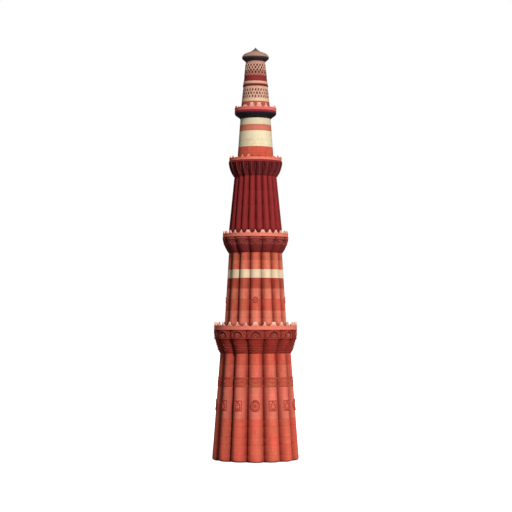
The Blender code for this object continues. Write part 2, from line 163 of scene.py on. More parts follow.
class Piece:
    """A mesh on the bench: shaped in edit mode, and then set in its place."""

    def __init__(self, name: str) -> None:
        """Links an empty mesh and opens it.

        Args:
            name: the piece's name in the finished scene.
        """
        self.mesh = bpy.data.meshes.new(name)
        self.thing = bpy.data.objects.new(name, self.mesh)
        bpy.context.scene.collection.objects.link(self.thing)
        self.open()

    def open(self) -> None:
        """Selects this piece alone and goes into edit mode."""
        self.close()
        bpy.ops.object.select_all(action="DESELECT")
        bpy.context.view_layer.objects.active = self.thing
        self.thing.select_set(True)
        bpy.ops.object.mode_set(mode="EDIT")

    def close(self) -> None:
        """Goes back to object mode."""
        if bpy.context.mode != "OBJECT":
            bpy.ops.object.mode_set(mode="OBJECT")

    def pick(self, where: Where, kind: Kind = Kind.POINTS) -> int:
        """Selects points, or edges that have no face on one side, by their place.

        Args:
            where: says of a point, or of an edge's middle, whether it is meant.
            kind: what is selected.

        Returns:
            How many were selected.
        """
        bpy.ops.mesh.select_mode(type=kind.value)
        bpy.ops.mesh.select_all(action="DESELECT")
        sheet = bmesh.from_edit_mesh(self.mesh)
        if kind is Kind.POINTS:
            places = [(point, point.co) for point in sheet.verts]
        else:
            rims = [edge for edge in sheet.edges if len(edge.link_faces) < 2]
            places = [(edge, (edge.verts[0].co + edge.verts[1].co) / 2) for edge in rims]
        meant = [element for element, place in places if where(place)]
        for element in meant:
            element.select_set(True)
        sheet.select_flush_mode()
        bmesh.update_edit_mesh(self.mesh)
        return len(meant)

    def circle(
        self, sides: int, radius: float, place: Sequence[float], tilt: Sequence[float] = (0, 0, 0),
        filled: bool = False,
    ) -> None:
        """Draws a circle, level unless it is tilted, and with a face if it is filled."""
        fill = "NGON" if filled else "NOTHING"
        bpy.ops.mesh.primitive_circle_add(
            vertices=sides, radius=radius, fill_type=fill, location=place, rotation=tilt
        )

    def extrude(self, x: float, y: float, z: float) -> None:
        """Extrudes what is selected."""
        bpy.ops.mesh.extrude_region_move(TRANSFORM_OT_translate={"value": (x, y, z)})

    def pick_rim(self, z: float) -> int:
        """Selects the open edges at one height."""
        return self.pick(lambda middle: abs(middle.z - z) < LEVEL, Kind.RIMS)

    def pick_all(self) -> None:
        """Selects all of the mesh."""
        bpy.ops.mesh.select_mode(type="VERT")
        bpy.ops.mesh.select_all(action="SELECT")

    def push(self, x: float, y: float, z: float) -> None:
        """Moves what is selected."""
        bpy.ops.transform.translate(value=(x, y, z))

    def swell(self, x: float, y: float, z: float, centre: Sequence[float]) -> None:
        """Scales what is selected about a centre."""
        bpy.ops.transform.resize(value=(x, y, z), center_override=tuple(centre))

    def turn(self, angle: float) -> None:
        """Turns what is selected round the tower's axis, towards higher azimuths."""
        bpy.ops.transform.rotate(value=-angle, orient_axis="Z", center_override=(0, 0, 0))

    def weld(self) -> None:
        """Makes doubled points one."""
        self.pick_all()
        bpy.ops.mesh.remove_doubles(threshold=WELD)

    def settle(self) -> None:
        """Welds doubled points, and turns all faces outwards."""
        self.weld()
        bpy.ops.mesh.normals_make_consistent(inside=False)

    def apply(self, kind: str, **settings: object) -> None:
        """Adds a modifier and applies it.

        Args:
            kind: its type.
            settings: its settings, by name.
        """
        self.close()
        modifier = self.thing.modifiers.new(kind.lower(), kind)
        for name, value in settings.items():
            setattr(modifier, name, value)
        bpy.ops.object.modifier_apply(modifier=modifier.name)
        self.open()

    def cut(self, cutter: "Piece") -> None:
        """Cuts another piece's shape out of this one, and throws the cutter away.

        The faces that the cut leaves take the cutter's material.

        Args:
            cutter: the piece that is cut out.
        """
        for piece in (cutter, self):
            piece.open()
            piece.settle()
        self.apply(
            "BOOLEAN", object=cutter.thing, operation="DIFFERENCE", solver="EXACT",
            material_mode="TRANSFER",
        )
        bpy.data.objects.remove(cutter.thing)

    def loft(self, courses: Sequence[Course], flutes: Flutes | None = None) -> None:
        """Raises the selected outline from the first course through the others.

        Args:
            courses: the outlines, the first being the one that is selected.
            flutes: the flutes of a fluted outline, or None for a round one.
        """
        for before, after in zip(courses, courses[1:]):
            rise = {"value": (0, 0, after.z - before.z)}
            bpy.ops.mesh.extrude_edges_move(TRANSFORM_OT_translate=rise)
            grown = after.crest * after.valley / (before.crest * before.valley)
            self.swell(grown, grown, 1, (0, 0, after.z))
            if flutes and after.valley != before.valley:
                old = flutes.shape(before.crest, before.valley)[2] * grown
                new = flutes.shape(after.crest, after.valley)[2]
                chord_line = after.crest * after.valley * math.cos(flutes.half)
                self.swell(1, new / old, 1, (0, -chord_line, after.z))

    def flute(self, flutes: Flutes, course: Course, sides: int) -> None:
        """Draws the front flute's curve: a circle, cut along both valleys and behind.

        All that the mesh holds already is hidden, until it is revealed.

        Args:
            flutes: the flutes.
            course: their outline there.
            sides: sides of the full circle.
        """
        self.pick_all()
        bpy.ops.mesh.hide()
        bend, _, rise = flutes.shape(course.crest, course.valley)
        centre = course.crest - bend
        self.circle(sides, bend, (0, -centre, course.z))
        for side in (1, -1):
            normal = (side * math.cos(flutes.half), math.sin(flutes.half), 0)
            bpy.ops.mesh.select_all(action="SELECT")
            bpy.ops.mesh.bisect(plane_co=(0, 0, 0), plane_no=normal, clear_outer=True)
        behind = (0, -(course.crest - BEHIND * rise), 0)
        bpy.ops.mesh.select_all(action="SELECT")
        bpy.ops.mesh.bisect(plane_co=behind, plane_no=(0, 1, 0), clear_outer=True)
        visible = [point.co for point in bmesh.from_edit_mesh(self.mesh).verts if not point.hide]
        tip = max(visible, key=lambda place: place.x).copy()
        self.pick(lambda place: abs(place.x) > tip.x - WELD)
        fit = course.crest * course.valley / tip.xy.length
        self.swell(fit, fit, 1, (0, 0, course.z))
        self.pick_all()

    def ring_round(self, count: int) -> None:
        """Copies all of the mesh round the tower's axis, and welds the seams.

        Args:
            count: how many there are then.
        """
        self.pick_all()
        around = 2 * math.pi * (count - 1) / count
        bpy.ops.mesh.spin(steps=count - 1, dupli=True, angle=around, center=(0, 0, 0), axis=(0, 0, 1))
        self.weld()

    def pick_first(self, count: int) -> None:
        """Selects the points that were drawn first, and all that they hold.

        Args:
            count: how many points.
        """
        bpy.ops.mesh.select_mode(type="VERT")
        bpy.ops.mesh.select_all(action="DESELECT")
        sheet = bmesh.from_edit_mesh(self.mesh)
        sheet.verts.ensure_lookup_table()
        for point in sheet.verts[:count]:
            point.select_set(True)
        sheet.select_flush_mode()
        bmesh.update_edit_mesh(self.mesh)

    def copy_round(self, azimuths: Sequence[float]) -> None:
        """Puts copies of the mesh round the tower, in place of the one at the front.

        Args:
            azimuths: where they go.
        """
        self.open()
        own = len(bmesh.from_edit_mesh(self.mesh).verts)
        for azimuth in azimuths:
            self.pick_first(own)
            bpy.ops.mesh.duplicate()
            self.turn(azimuth)
        self.pick_first(own)
        bpy.ops.mesh.delete(type="VERT")

    def core(self, low: Course, high: Course) -> None:
        """Gives an outer face its round inner face, and closes both ends.

        Args:
            low: height and radius of the inner face's lower end.
            high: those of its upper end.
        """
        # each inner rim is bridged while it stands aside, so that the bridge can't twist
        sides = self.pick_rim(high.z)
        self.circle(sides, high.crest, (0, 0, high.z + ASIDE))
        self.pick(lambda middle: middle.z > high.z - LEVEL, Kind.RIMS)
        bpy.ops.mesh.bridge_edge_loops()
        self.pick_rim(high.z + ASIDE)
        self.push(0, 0, -ASIDE)
        self.loft((high, replace(low, z=low.z - ASIDE)))
        self.pick(lambda middle: middle.z < low.z + LEVEL, Kind.RIMS)
        bpy.ops.mesh.bridge_edge_loops()
        self.pick(lambda point: point.z < low.z - ASIDE + LEVEL)
        self.push(0, 0, ASIDE)

    def lathe(self, profile: Sequence[Course], sides: int) -> None:
        """Draws a closed ring of revolution: circles raised through a profile and back.

        Args:
            profile: the ring's section.
            sides: sides of each circle.
        """
        first = profile[0]
        self.circle(sides, first.crest, (0, 0, first.z))
        self.loft((*profile, first))
        self.weld()

    def fluted_ring(
        self, flutes: Flutes, courses: Sequence[Course], bores: tuple[float, float], sides: int = 40
    ) -> None:
        """Draws a closed fluted ring with a round bore.

        Args:
            flutes: its flutes.
            courses: its outer face, from the bottom up.
            bores: radii of its bore at the bottom and at the top.
            sides: sides of the full circle that a flute's curve is cut from.
        """
        self.flute(flutes, courses[0], sides)
        self.loft(courses, flutes)
        self.ring_round(flutes.count)
        if flutes.turn:
            self.pick_all()
            self.turn(2 * flutes.half * flutes.turn)
        self.core(Course(courses[0].z, bores[0]), Course(courses[-1].z, bores[1]))

    def drum(self, sides: int, depth: float, place: Sequence[float]) -> None:
        """Draws a cylinder that points at the front, a metre in radius."""
        bpy.ops.mesh.primitive_cylinder_add(
            vertices=sides, radius=1.0, depth=depth, location=place, rotation=(math.pi / 2, 0, 0)
        )

    def set_in_place(self, finish: "Stone", stands_for: Sequence[str] = ()) -> None:
        """Finishes the mesh and hands the piece to the frame.

        Args:
            finish: what it is made of.
            stands_for: the solids that it is shown in place of.
        """
        self.settle()
        if not bmesh.from_edit_mesh(self.mesh).faces:
            raise ValueError(f"{self.thing.name} has no faces")
        self.close()
        bpy.ops.object.shade_smooth_by_angle(angle=math.radians(SHARP))
        if self.mesh.materials:
            self.mesh.materials[0] = finish.material()
        else:
            self.mesh.materials.append(finish.material())
        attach(self.thing, BODY)
        if stands_for:
            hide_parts(*stands_for)
        log.info("%s: %d faces of %s", self.thing.name, len(self.mesh.polygons), finish.name)


class Relief(Piece):
    """Carving that is drawn flat in the XZ plane, facing -Y, and then set round the tower.

    It is drawn about the origin, half of its depth in front of the plane, so that it
    grows out of the wall that it is set on.
    """

    def bar(self, start: Sequence[float], end: Sequence[float], thick: float) -> None:
        """Draws a straight rounded bar.

        Args:
            start: its first end, (x, z).
            end: its other end.
            thick: its radius.
        """
        dx, dz = end[0] - start[0], end[1] - start[1]
        steps = max(1, math.ceil(abs(dx) / BAR_RUN))
        self.circle(BAR_SIDES, thick, (start[0], 0, start[1]), (0, math.atan2(dx, dz), 0), filled=True)
        for _ in range(steps):
            self.extrude(dx / steps, 0, dz / steps)

    def bow(
        self, centre: Sequence[float], radius: float, start: float, sweep: float, thick: float,
        steps: int = 8,
    ) -> None:
        """Draws a bar bent to part of a circle.

        Args:
            centre: the circle's centre, (x, z).
            radius: its radius.
            start: where the bar starts, in degrees from +X towards +Z.
            sweep: how far it runs, in degrees the same way.
            thick: the bar's radius.
            steps: straight runs in it.
        """
        angle = math.radians(start)
        x, z = centre[0] + radius * math.cos(angle), centre[1] + radius * math.sin(angle)
        self.circle(BAR_SIDES, thick, (x, 0, z), (0, -angle, 0), filled=True)
        bpy.ops.mesh.spin(
            steps=steps, angle=math.radians(sweep), center=(centre[0], 0, centre[1]), axis=(0, 1, 0)
        )

    def boss(self, centre: Sequence[float], radius: float, rise: float, upright: float = 1.0) -> None:
        """Draws a dome.

        Args:
            centre: its middle, (x, z).
            radius: half its width.
            rise: how far it stands out.
            upright: its height over its width.
        """
        place = (centre[0], 0, centre[1])
        bpy.ops.mesh.primitive_uv_sphere_add(segments=10, ring_count=6, radius=radius, location=place)
        self.swell(1, rise / radius, upright, place)

    def leaf(
        self, root: Sequence[float], length: float, width: float, angle: float, rise: float
    ) -> None:
        """Draws a pointed leaf.

        Args:
            root: its root, (x, z).
            length: from root to point.
            width: across its widest place.
            angle: where it points, in degrees from +X towards +Z.
            rise: how far it stands out.
        """
        lean = math.radians(90 - angle)
        along = Vector((math.sin(lean), 0, math.cos(lean)))
        middle = Vector((root[0], 0, root[1])) + along * length / 3
        for share, turned in ((1 / 3, math.pi), (2 / 3, 0.0)):
            depth = length * share
            sign = -1 if turned else 1
            bpy.ops.mesh.primitive_cone_add(
                vertices=6, radius1=width / 2, depth=depth, location=middle + along * sign * depth / 2,
                rotation=(0, lean + turned, 0),
            )
            self.swell(1, 2 * rise / width, 1, middle)

    def slab(self, low: Sequence[float], high: Sequence[float], rise: float) -> None:
        """Draws a flat block, with its front edges taken off.

        Args:
            low: its lower left corner, (x, z).
            high: its upper right corner.
            rise: how far it stands out.
        """
        wide, tall = high[0] - low[0], high[1] - low[1]
        middle = ((low[0] + high[0]) / 2, 0, (low[1] + high[1]) / 2)
        facets = max(1, math.ceil(wide / SLAB_RUN))
        upright = (math.pi / 2, 0, 0)
        bpy.ops.mesh.primitive_grid_add(
            x_subdivisions=facets, y_subdivisions=1, size=1, location=middle, rotation=upright
        )
        self.swell(wide, 1, tall, middle)
        self.push(0, rise, 0)
        self.extrude(0, -1.6 * rise, 0)
        self.extrude(0, -0.4 * rise, 0)
        self.swell(1 - rise / wide, 1, 1 - rise / tall, middle)

    def ring(self, centre: Sequence[float], wide: float, tall: float, thick: float) -> None:
        """Draws an oval ring.

        Args:
            centre: its middle, (x, z).
            wide: its width across its middle line.
            tall: its height likewise.
            thick: radius of its section.
        """
        place = (centre[0], 0, centre[1])
        bpy.ops.mesh.primitive_torus_add(
            major_segments=28, minor_segments=6, major_radius=wide / 2, minor_radius=thick,
            location=place, rotation=(math.pi / 2, 0, 0),
        )
        self.swell(1, 1, tall / wide, place)

    def settle(self) -> None:
        """Turns the faces of each bar, leaf and dome outwards, and leaves them separate."""
        self.pick_all()
        bpy.ops.mesh.normals_make_consistent(inside=False)

    def reach(self, axis: int) -> float:
        """Length of the carving along an axis, 0 for x and 2 for z."""
        places = [point.co[axis] for point in self.mesh.vertices]
        return max(places) - min(places)

    def wrap(self, bend: float) -> None:
        """Bends the flat carving to a curve of this radius, as a flute or a round wall has."""
        self.close()
        angle = self.reach(0) / bend
        self.apply("SIMPLE_DEFORM", deform_method="BEND", deform_axis="Z", angle=angle)

    def seat(self, face: Batter, z: float, azimuths: Sequence[float]) -> None:
        """Sets copies on the wall, leaning as the wall does.

        Args:
            face: the wall's face.
            z: height of the carving's own zero.
            azimuths: where the copies go.
        """
        self.pick_all()
        self.push(0, -face.crest(z), 0)
        self.copy_round(azimuths)
        self.taper(face.rate(z))
        self.pick_all()
        self.push(0, 0, z)

    def dress(
        self, bend: float, face: Batter, z: float, azimuths: Sequence[float], finish: "Stone"
    ) -> None:
        """Wraps the carving to its wall, sets it there and finishes it.

        Args:
            bend: radius of the wall's curve in plan.
            face: the wall's face.
            z: height of the carving's own zero.
            azimuths: where its copies go.
            finish: its stone.
        """
        self.wrap(bend)
        self.seat(face, z, azimuths)
        self.set_in_place(finish)

    def taper(self, rate: float) -> None:
        """Grows the plan by this share of it with each metre of height, from height zero."""
        self.close()
        factor = rate * self.reach(2)
        self.apply("SIMPLE_DEFORM", deform_method="TAPER", deform_axis="Z", factor=factor)


class NodeSheet:
    """A node tree that is being filled, with short calls for the usual nodes."""

    def __init__(self, tree: bpy.types.NodeTree) -> None:
        """Takes the tree that is filled."""
        self.tree = tree

    def add(self, kind: str, **settings: object) -> bpy.types.Node:
        """Adds a node.

        Args:
            kind: its type.
            settings: its settings, by name.

        Returns:
            The node.
        """
        node = self.tree.nodes.new(kind)
        for name, value in settings.items():
            setattr(node, name, value)
        return node

    def feed(self, socket: Socket, value: object) -> None:
        """Links a socket to a value that is a socket too, or else sets it.

        Args:
            socket: an input.
            value: what it gets.
        """
        if isinstance(value, bpy.types.NodeSocket):
            self.tree.links.new(value, socket)
        elif isinstance(value, tuple) and socket.type == "RGBA":
            socket.default_value = (*value[:3], 1.0)
        else:
            socket.default_value = value

    def fill(self, node: bpy.types.Node, values: Values) -> None:
        """Feeds a node's inputs, by number or name."""
        for key, value in values.items():
            self.feed(node.inputs[key], value)

    def wire(self, kind: str, values: Values, output: int | str = 0, **settings: object) -> Socket:
        """Adds a node and feeds it.

        Args:
            kind: its type.
            values: what its inputs get, by number or name.
            output: which output is wanted, likewise.
            settings: its settings, by name.

        Returns:
            That output.
        """
        node = self.add(kind, **settings)
        self.fill(node, values)
        return node.outputs[output]

    def reckon(self, operation: str, *values: object) -> Socket:
        """The result of a Math node over up to three values."""
        return self.wire("ShaderNodeMath", dict(enumerate(values)), operation=operation)

    def times(self, first: object, second: object) -> Socket:
        """The product of two values."""
        return self.reckon("MULTIPLY", first, second)

    def less(self, first: object, second: object) -> Socket:
        """The first value less the second."""
        return self.reckon("SUBTRACT", first, second)

    def swing(self, value: Socket, contrast: Socket) -> Socket:
        """A tone about 1 from a value about a half."""
        return self.reckon("MULTIPLY_ADD", self.times(self.less(value, 0.5), 2.0), contrast, 1.0)

    def stray(self, value: Socket) -> Socket:
        """How far a value is from the nearest whole number."""
        part = self.reckon("FRACT", value)
        return self.reckon("MINIMUM", part, self.less(1.0, part))

    def blend(self, share: object, first: object, second: object, mode: str = "MIX") -> Socket:
        """A mix of two colours, with this share of the second."""
        values = {0: share, 6: first, 7: second}
        return self.wire("ShaderNodeMix", values, 2, data_type="RGBA", blend_type=mode)

    def span(self, value: object, low: float, high: float, to_low: float, to_high: float) -> Socket:
        """A value mapped from one range to another, smoothly, and kept there."""
        values = dict(enumerate((value, low, high, to_low, to_high)))
        return self.wire("ShaderNodeMapRange", values, interpolation_type="SMOOTHSTEP")

    def noise(self, vector: Socket, scale: object, detail: float) -> Socket:
        """The value of a noise."""
        values = {"Vector": vector, "Scale": scale, "Detail": detail}
        return self.wire("ShaderNodeTexNoise", values, "Fac")

    def place(self) -> tuple[Socket, Socket, Socket, Socket]:
        """Adds the object's coordinates.

        Returns:
            The vector, and x, y and z.
        """
        vector = self.add("ShaderNodeTexCoord").outputs["Object"]
        parts = self.add("ShaderNodeSeparateXYZ")
        self.feed(parts.inputs[0], vector)
        return vector, *parts.outputs

    def azimuth(self) -> tuple[Socket, Socket]:
        """Azimuth in turns from the front, and height."""
        _, x, y, z = self.place()
        return self.reckon("DIVIDE", self.reckon("ARCTAN2", x, self.times(y, -1.0)), 2 * math.pi), z


class Effect:
    """A shader node group, built once and then placed in each material that uses it."""

    name: str
    inputs: dict[str, float]
    outputs: tuple[str, ...]

    def group(self) -> bpy.types.NodeTree:
        """Makes the group, the first time that it is asked for.

        Returns:
            The group.
        """
        found = bpy.data.node_groups.get(self.name)
        if found:
            return found
        tree = bpy.data.node_groups.new(self.name, "ShaderNodeTree")
        for name, usual in self.inputs.items():
            made = tree.interface.new_socket(name, in_out="INPUT", socket_type="NodeSocketFloat")
            made.default_value = usual
        for name in self.outputs:
            tree.interface.new_socket(name, in_out="OUTPUT", socket_type="NodeSocketFloat")
        sheet = NodeSheet(tree)
        given = sheet.add("NodeGroupInput")
        result = sheet.add("NodeGroupOutput")
        for name, value in zip(self.outputs, self.draw(sheet, given.outputs)):
            sheet.feed(result.inputs[name], value)
        return tree

    def draw(self, sheet: NodeSheet, given: bpy.types.NodeInputs) -> tuple[Socket, ...]:
        """Fills the group and gives its outputs in order."""
        raise NotImplementedError

    def use(self, sheet: NodeSheet, **values: float) -> bpy.types.NodeOutputs:
        """Places the group in a material.

        Args:
            sheet: the material's nodes.
            values: what the group's inputs get, by name with _ for a space.

        Returns:
            The placed group's outputs.
        """
        node = sheet.add("ShaderNodeGroup", node_tree=self.group())
        sheet.fill(node, {name.replace("_", " "): value for name, value in values.items()})
        return node.outputs


class StoneGrain(Effect):
    """Broad clouding and fine grain of cut stone."""

    name = "stone_grain"
    inputs = {"Cloud Size": 0.9, "Grain Size": 0.05, "Contrast": 0.15}
    outputs = ("Tone", "Height", "Drift")

    def draw(self, sheet: NodeSheet, given: bpy.types.NodeInputs) -> tuple[Socket, ...]:
        """Two noises: clouds and grain.

        Args:
            sheet: the group's nodes.
            given: its inputs.

        Returns:
            Its outputs in order.
        """
        vector = sheet.place()[0]
        clouds = sheet.noise(vector, sheet.reckon("DIVIDE", 1.0, given["Cloud Size"]), 2.0)
        grain = sheet.noise(vector, sheet.reckon("DIVIDE", 1.0, given["Grain Size"]), 4.0)
        both = sheet.reckon("ADD", sheet.times(clouds, 0.7), sheet.times(grain, 0.3))
        tone = sheet.swing(both, given["Contrast"])
        drift = sheet.noise(vector, sheet.reckon("DIVIDE", 0.6, given["Cloud Size"]), 1.0)
        return tone, grain, sheet.span(drift, 0.40, 0.68, 0.0, 1.0)


class Coursing(Effect):
    """Courses of blocks round the tower, each block of its own tone, with thin joints."""

    name = "coursing"
    inputs = {
        "Course Height": 0.3, "Blocks": 90.0, "Joint": 0.012, "Block Length": 0.26, "Contrast": 0.1,
    }
    outputs = ("Tone", "Joints")

    def draw(self, sheet: NodeSheet, given: bpy.types.NodeInputs) -> tuple[Socket, ...]:
        """Rows by height, and blocks by azimuth, each row half a block on.

        Args:
            sheet: the group's nodes.
            given: its inputs.

        Returns:
            Its outputs in order.
        """
        turns, z = sheet.azimuth()
        row = sheet.reckon("DIVIDE", z, given["Course Height"])
        row_number = sheet.reckon("FLOOR", row)
        shift = sheet.times(row_number, 0.5)
        block = sheet.reckon("ADD", sheet.times(turns, given["Blocks"]), shift)
        block_number = sheet.reckon("FLOOR", block)
        gaps = []
        for value, size in ((row, given["Course Height"]), (block, given["Block Length"])):
            gap = sheet.reckon("DIVIDE", sheet.times(sheet.stray(value), size), given["Joint"])
            gaps.append(sheet.less(1.0, sheet.reckon("MINIMUM", gap, 1.0)))
        joints = sheet.reckon("MAXIMUM", *gaps)
        pair = sheet.wire("ShaderNodeCombineXYZ", {0: block_number, 1: row_number})
        dice = sheet.wire("ShaderNodeTexWhiteNoise", {"Vector": pair}, "Value", noise_dimensions="2D")
        return sheet.swing(dice, given["Contrast"]), joints


class FluteShade(Effect):
    """Painted shade in the valleys between flutes."""

    name = "flute_shade"
    inputs = {"Flutes": 14.0, "Turn": 0.0, "Spread": 0.3}
    outputs = ("Valley",)

    def draw(self, sheet: NodeSheet, given: bpy.types.NodeInputs) -> tuple[Socket, ...]:
        """How near the azimuth is to a valley.

        Args:
            sheet: the group's nodes.
            given: its inputs.

        Returns:
            Its outputs in order.
        """
        turns, _ = sheet.azimuth()
        along = sheet.less(sheet.times(turns, given["Flutes"]), given["Turn"])
        near = sheet.stray(sheet.reckon("ADD", along, 0.5))
        share = sheet.reckon("MINIMUM", sheet.reckon("DIVIDE", near, given["Spread"]), 1.0)
        return (sheet.reckon("POWER", sheet.less(1.0, share), 1.2),)


class ShadeAndWeather(Effect):
    """Painted shade in hollows, worn edges, and faint streaks that the rain has left."""

    name = "shade_and_weather"
    inputs = {"Hollow Size": 0.12, "Edge Size": 0.03, "Streaks": 0.2}
    outputs = ("Hollow", "Edge", "Streak")

    def draw(self, sheet: NodeSheet, given: bpy.types.NodeInputs) -> tuple[Socket, ...]:
        """Hollows and edges by occlusion, streaks by a noise drawn out downwards.

        Args:
            sheet: the group's nodes.
            given: its inputs.

        Returns:
            Its outputs in order.
        """
        masks = []
        for size, inside in ((given["Hollow Size"], False), (given["Edge Size"], True)):
            near = {"samples": 6, "inside": inside, "only_local": True}
            light = sheet.wire("ShaderNodeAmbientOcclusion", {"Distance": size}, "AO", **near)
            masks.append(sheet.less(1.0, light))
        drawn_out = {"Vector": sheet.place()[0], "Scale": (1.0, 1.0, 0.07)}
        stretch = sheet.wire("ShaderNodeMapping", drawn_out)
        streak = sheet.span(sheet.noise(stretch, 7.0, 3.0), 0.52, 0.75, 0.0, 1.0)
        hollow = sheet.span(masks[0], 0.25, 0.9, 0.0, 1.0)
        edge = sheet.span(masks[1], 0.55, 0.95, 0.0, 1.0)
        return hollow, edge, sheet.times(streak, given["Streaks"])


GRAIN = StoneGrain()
COURSING = Coursing()
FLUTE_SHADE = FluteShade()
SHADE_AND_WEATHER = ShadeAndWeather()


@dataclass(frozen=True)
class Zone:
    """Stone of one tint, up to a height."""

    top: float
    tint: Colour


@dataclass(frozen=True)
class Stone:
    """A dressed stone finish.

    colour is the clean face, deep the colour of joints and rain streaks and of the shade that
    is painted into hollows and valleys, and worn the edges. Some of the face drifts towards
    another tint. shine is its specular level. zones tint a wall by its height, flutes darkens
    the valleys between them with painted shade, and the foot shade is a painted shadow that
    darkens a wall's foot inside a balcony's parapet, fading out between two heights.
    """

    name: str
    slot: str
    colour: Colour
    deep: Colour
    worn: Colour
    drift: Colour | None = None
    drift_share: float = 0.35
    roughness: float = 0.85
    shine: float = 0.15
    contrast: float = 0.10
    cloud: float = 0.9
    course: float = 0.0
    blocks: int = 90
    block_length: float = 0.26
    joint: float = 0.014
    joint_depth: float = 0.35
    block_contrast: float = 0.07
    flutes: Flutes | None = None
    valley_depth: float = 0.95
    valley_spread: float = 0.40
    painted_foot_shade: tuple[float, float] | None = None
    painted_foot_shade_colour: Colour = (0.08, 0.014, 0.010)
    painted_foot_shade_depth: float = 0.8
    hollow_size: float = 0.14
    hollow_depth: float = 0.8
    edge_share: float = 0.35
    streaks: float = 0.18
    bump: float = 0.25
    bump_depth: float = 0.01
    joint_relief: float = 2.0
    roughness_swing: float = 0.06
    zones: tuple[Zone, ...] = ()

    def material(self) -> bpy.types.Material:
        """Makes the material, the first time that it is asked for.

        Returns:
            The material.
        """
        found = bpy.data.materials.get(self.name)
        if found:
            return found
        made = bpy.data.materials.new(self.name)
        made.use_nodes = True
        made.diffuse_color = (*self.colour, 1.0)
        sheet = NodeSheet(made.node_tree)
        shader = made.node_tree.nodes["Principled BSDF"]
        grain = GRAIN.use(sheet, Cloud_Size=self.cloud, Contrast=self.contrast)
        shade_and_weather = SHADE_AND_WEATHER.use(sheet, Hollow_Size=self.hollow_size, Streaks=self.streaks)
        tone = grain["Tone"]
        colour: object = self.zoned(sheet) if self.zones else self.colour
        relief = grain["Height"]
        if self.drift:
            colour = sheet.blend(sheet.times(grain["Drift"], self.drift_share), colour, self.drift)
        if self.course:
            blocks = COURSING.use(
                sheet, Course_Height=self.course, Blocks=float(self.blocks), Joint=self.joint,
                Block_Length=self.block_length, Contrast=self.block_contrast,
            )
            tone = sheet.times(tone, blocks["Tone"])
        grey = sheet.wire("ShaderNodeCombineColor", {0: tone, 1: tone, 2: tone})
        colour = sheet.blend(1.0, colour, grey, "MULTIPLY")
        colour = sheet.blend(shade_and_weather["Streak"], colour, self.deep)
        layers = []
        # painted shadow on a wall's foot, where the balcony's parapet shades it
        if self.painted_foot_shade:
            fading = sheet.span(sheet.place()[3], *self.painted_foot_shade, 1.0, 0.0)
            layers.append((fading, self.painted_foot_shade_depth, self.painted_foot_shade_colour))
        if self.course:
            layers.append((blocks["Joints"], self.joint_depth, self.deep))
            relief = sheet.less(relief, sheet.times(blocks["Joints"], self.joint_relief))
        # painted shade, darkest in the valleys between flutes
        if self.flutes:
            flutes = {"Flutes": float(self.flutes.count), "Turn": self.flutes.turn}
            valley = FLUTE_SHADE.use(sheet, Spread=self.valley_spread, **flutes)
            layers.append((valley["Valley"], self.valley_depth, self.deep))
        # painted shade in hollows, found by occlusion; the next layer lightens worn edges
        layers.append((shade_and_weather["Hollow"], self.hollow_depth, self.deep))
        layers.append((shade_and_weather["Edge"], self.edge_share, self.worn))
        for mask, share, tint in layers:
            colour = sheet.blend(sheet.times(mask, share), colour, tint)
        rough = (self.roughness - self.roughness_swing, self.roughness + self.roughness_swing)
        bump = {"Strength": self.bump, "Distance": self.bump_depth, "Height": relief}
        finish = {
            "Base Color": colour,
            "Roughness": sheet.span(grain["Height"], 0.2, 0.8, *rough),
            "Specular IOR Level": self.shine,
            "Normal": sheet.wire("ShaderNodeBump", bump),
        }
        sheet.fill(shader, finish)
        return made

    def zoned(self, sheet: NodeSheet) -> Socket:
        """Colours the face by height, stepping at each zone's top.

        Args:
            sheet: the material's nodes.

        Returns:
            The colour.
        """
        z = sheet.place()[3]
        top = self.zones[-1].top
        ramp = sheet.add("ShaderNodeValToRGB")
        ramp.color_ramp.interpolation = "CONSTANT"
        stops = ramp.color_ramp.elements
        bottom = 0.0
        for number, zone in enumerate(self.zones):
            stop = stops.new(bottom / top) if number else stops[0]
            stop.color = (*zone.tint, 1.0)
            bottom = zone.top
        stops.remove(stops[-1])
        sheet.feed(ramp.inputs[0], sheet.reckon("DIVIDE", z, top))
        return ramp.outputs[0]


def pointed_prism(
    name: str, width: float, spring: float, rise: float, near: float, far: float
) -> Piece:
    """Draws a pointed arch's prism in front of the tower's axis, standing on height zero.

    Args:
        name: the piece's name.
        width: between the jambs.
        spring: height of the jambs.
        rise: height of the arch over them.
        near: distance from the axis of its inner end.
        far: distance of its outer end.

    Returns:
        The prism, in edit mode.
    """
    piece = Piece(name)
    half = width / 2
    radius = (half**2 + rise**2) / width
    piece.circle(64, radius, (half - radius, 0, spring), (math.pi / 2, 0, 0))
    for normal in ((-1, 0, 0), (0, 0, -1)):
        bpy.ops.mesh.select_all(action="SELECT")
        bpy.ops.mesh.bisect(plane_co=(0, 0, spring), plane_no=normal, clear_outer=True)
    piece.pick(lambda point: point.z < spring + LEVEL)
    bpy.ops.mesh.extrude_vertices_move(TRANSFORM_OT_translate={"value": (0, 0, -spring)})
    piece.pick_all()
    bpy.ops.mesh.duplicate()
    piece.swell(-1, 1, 1, (0, 0, spring))
    piece.weld()
    piece.pick_all()
    bpy.ops.mesh.edge_face_add()
    piece.push(0, -far, 0)
    piece.extrude(0, far - near, 0)
    piece.pick_all()
    return piece


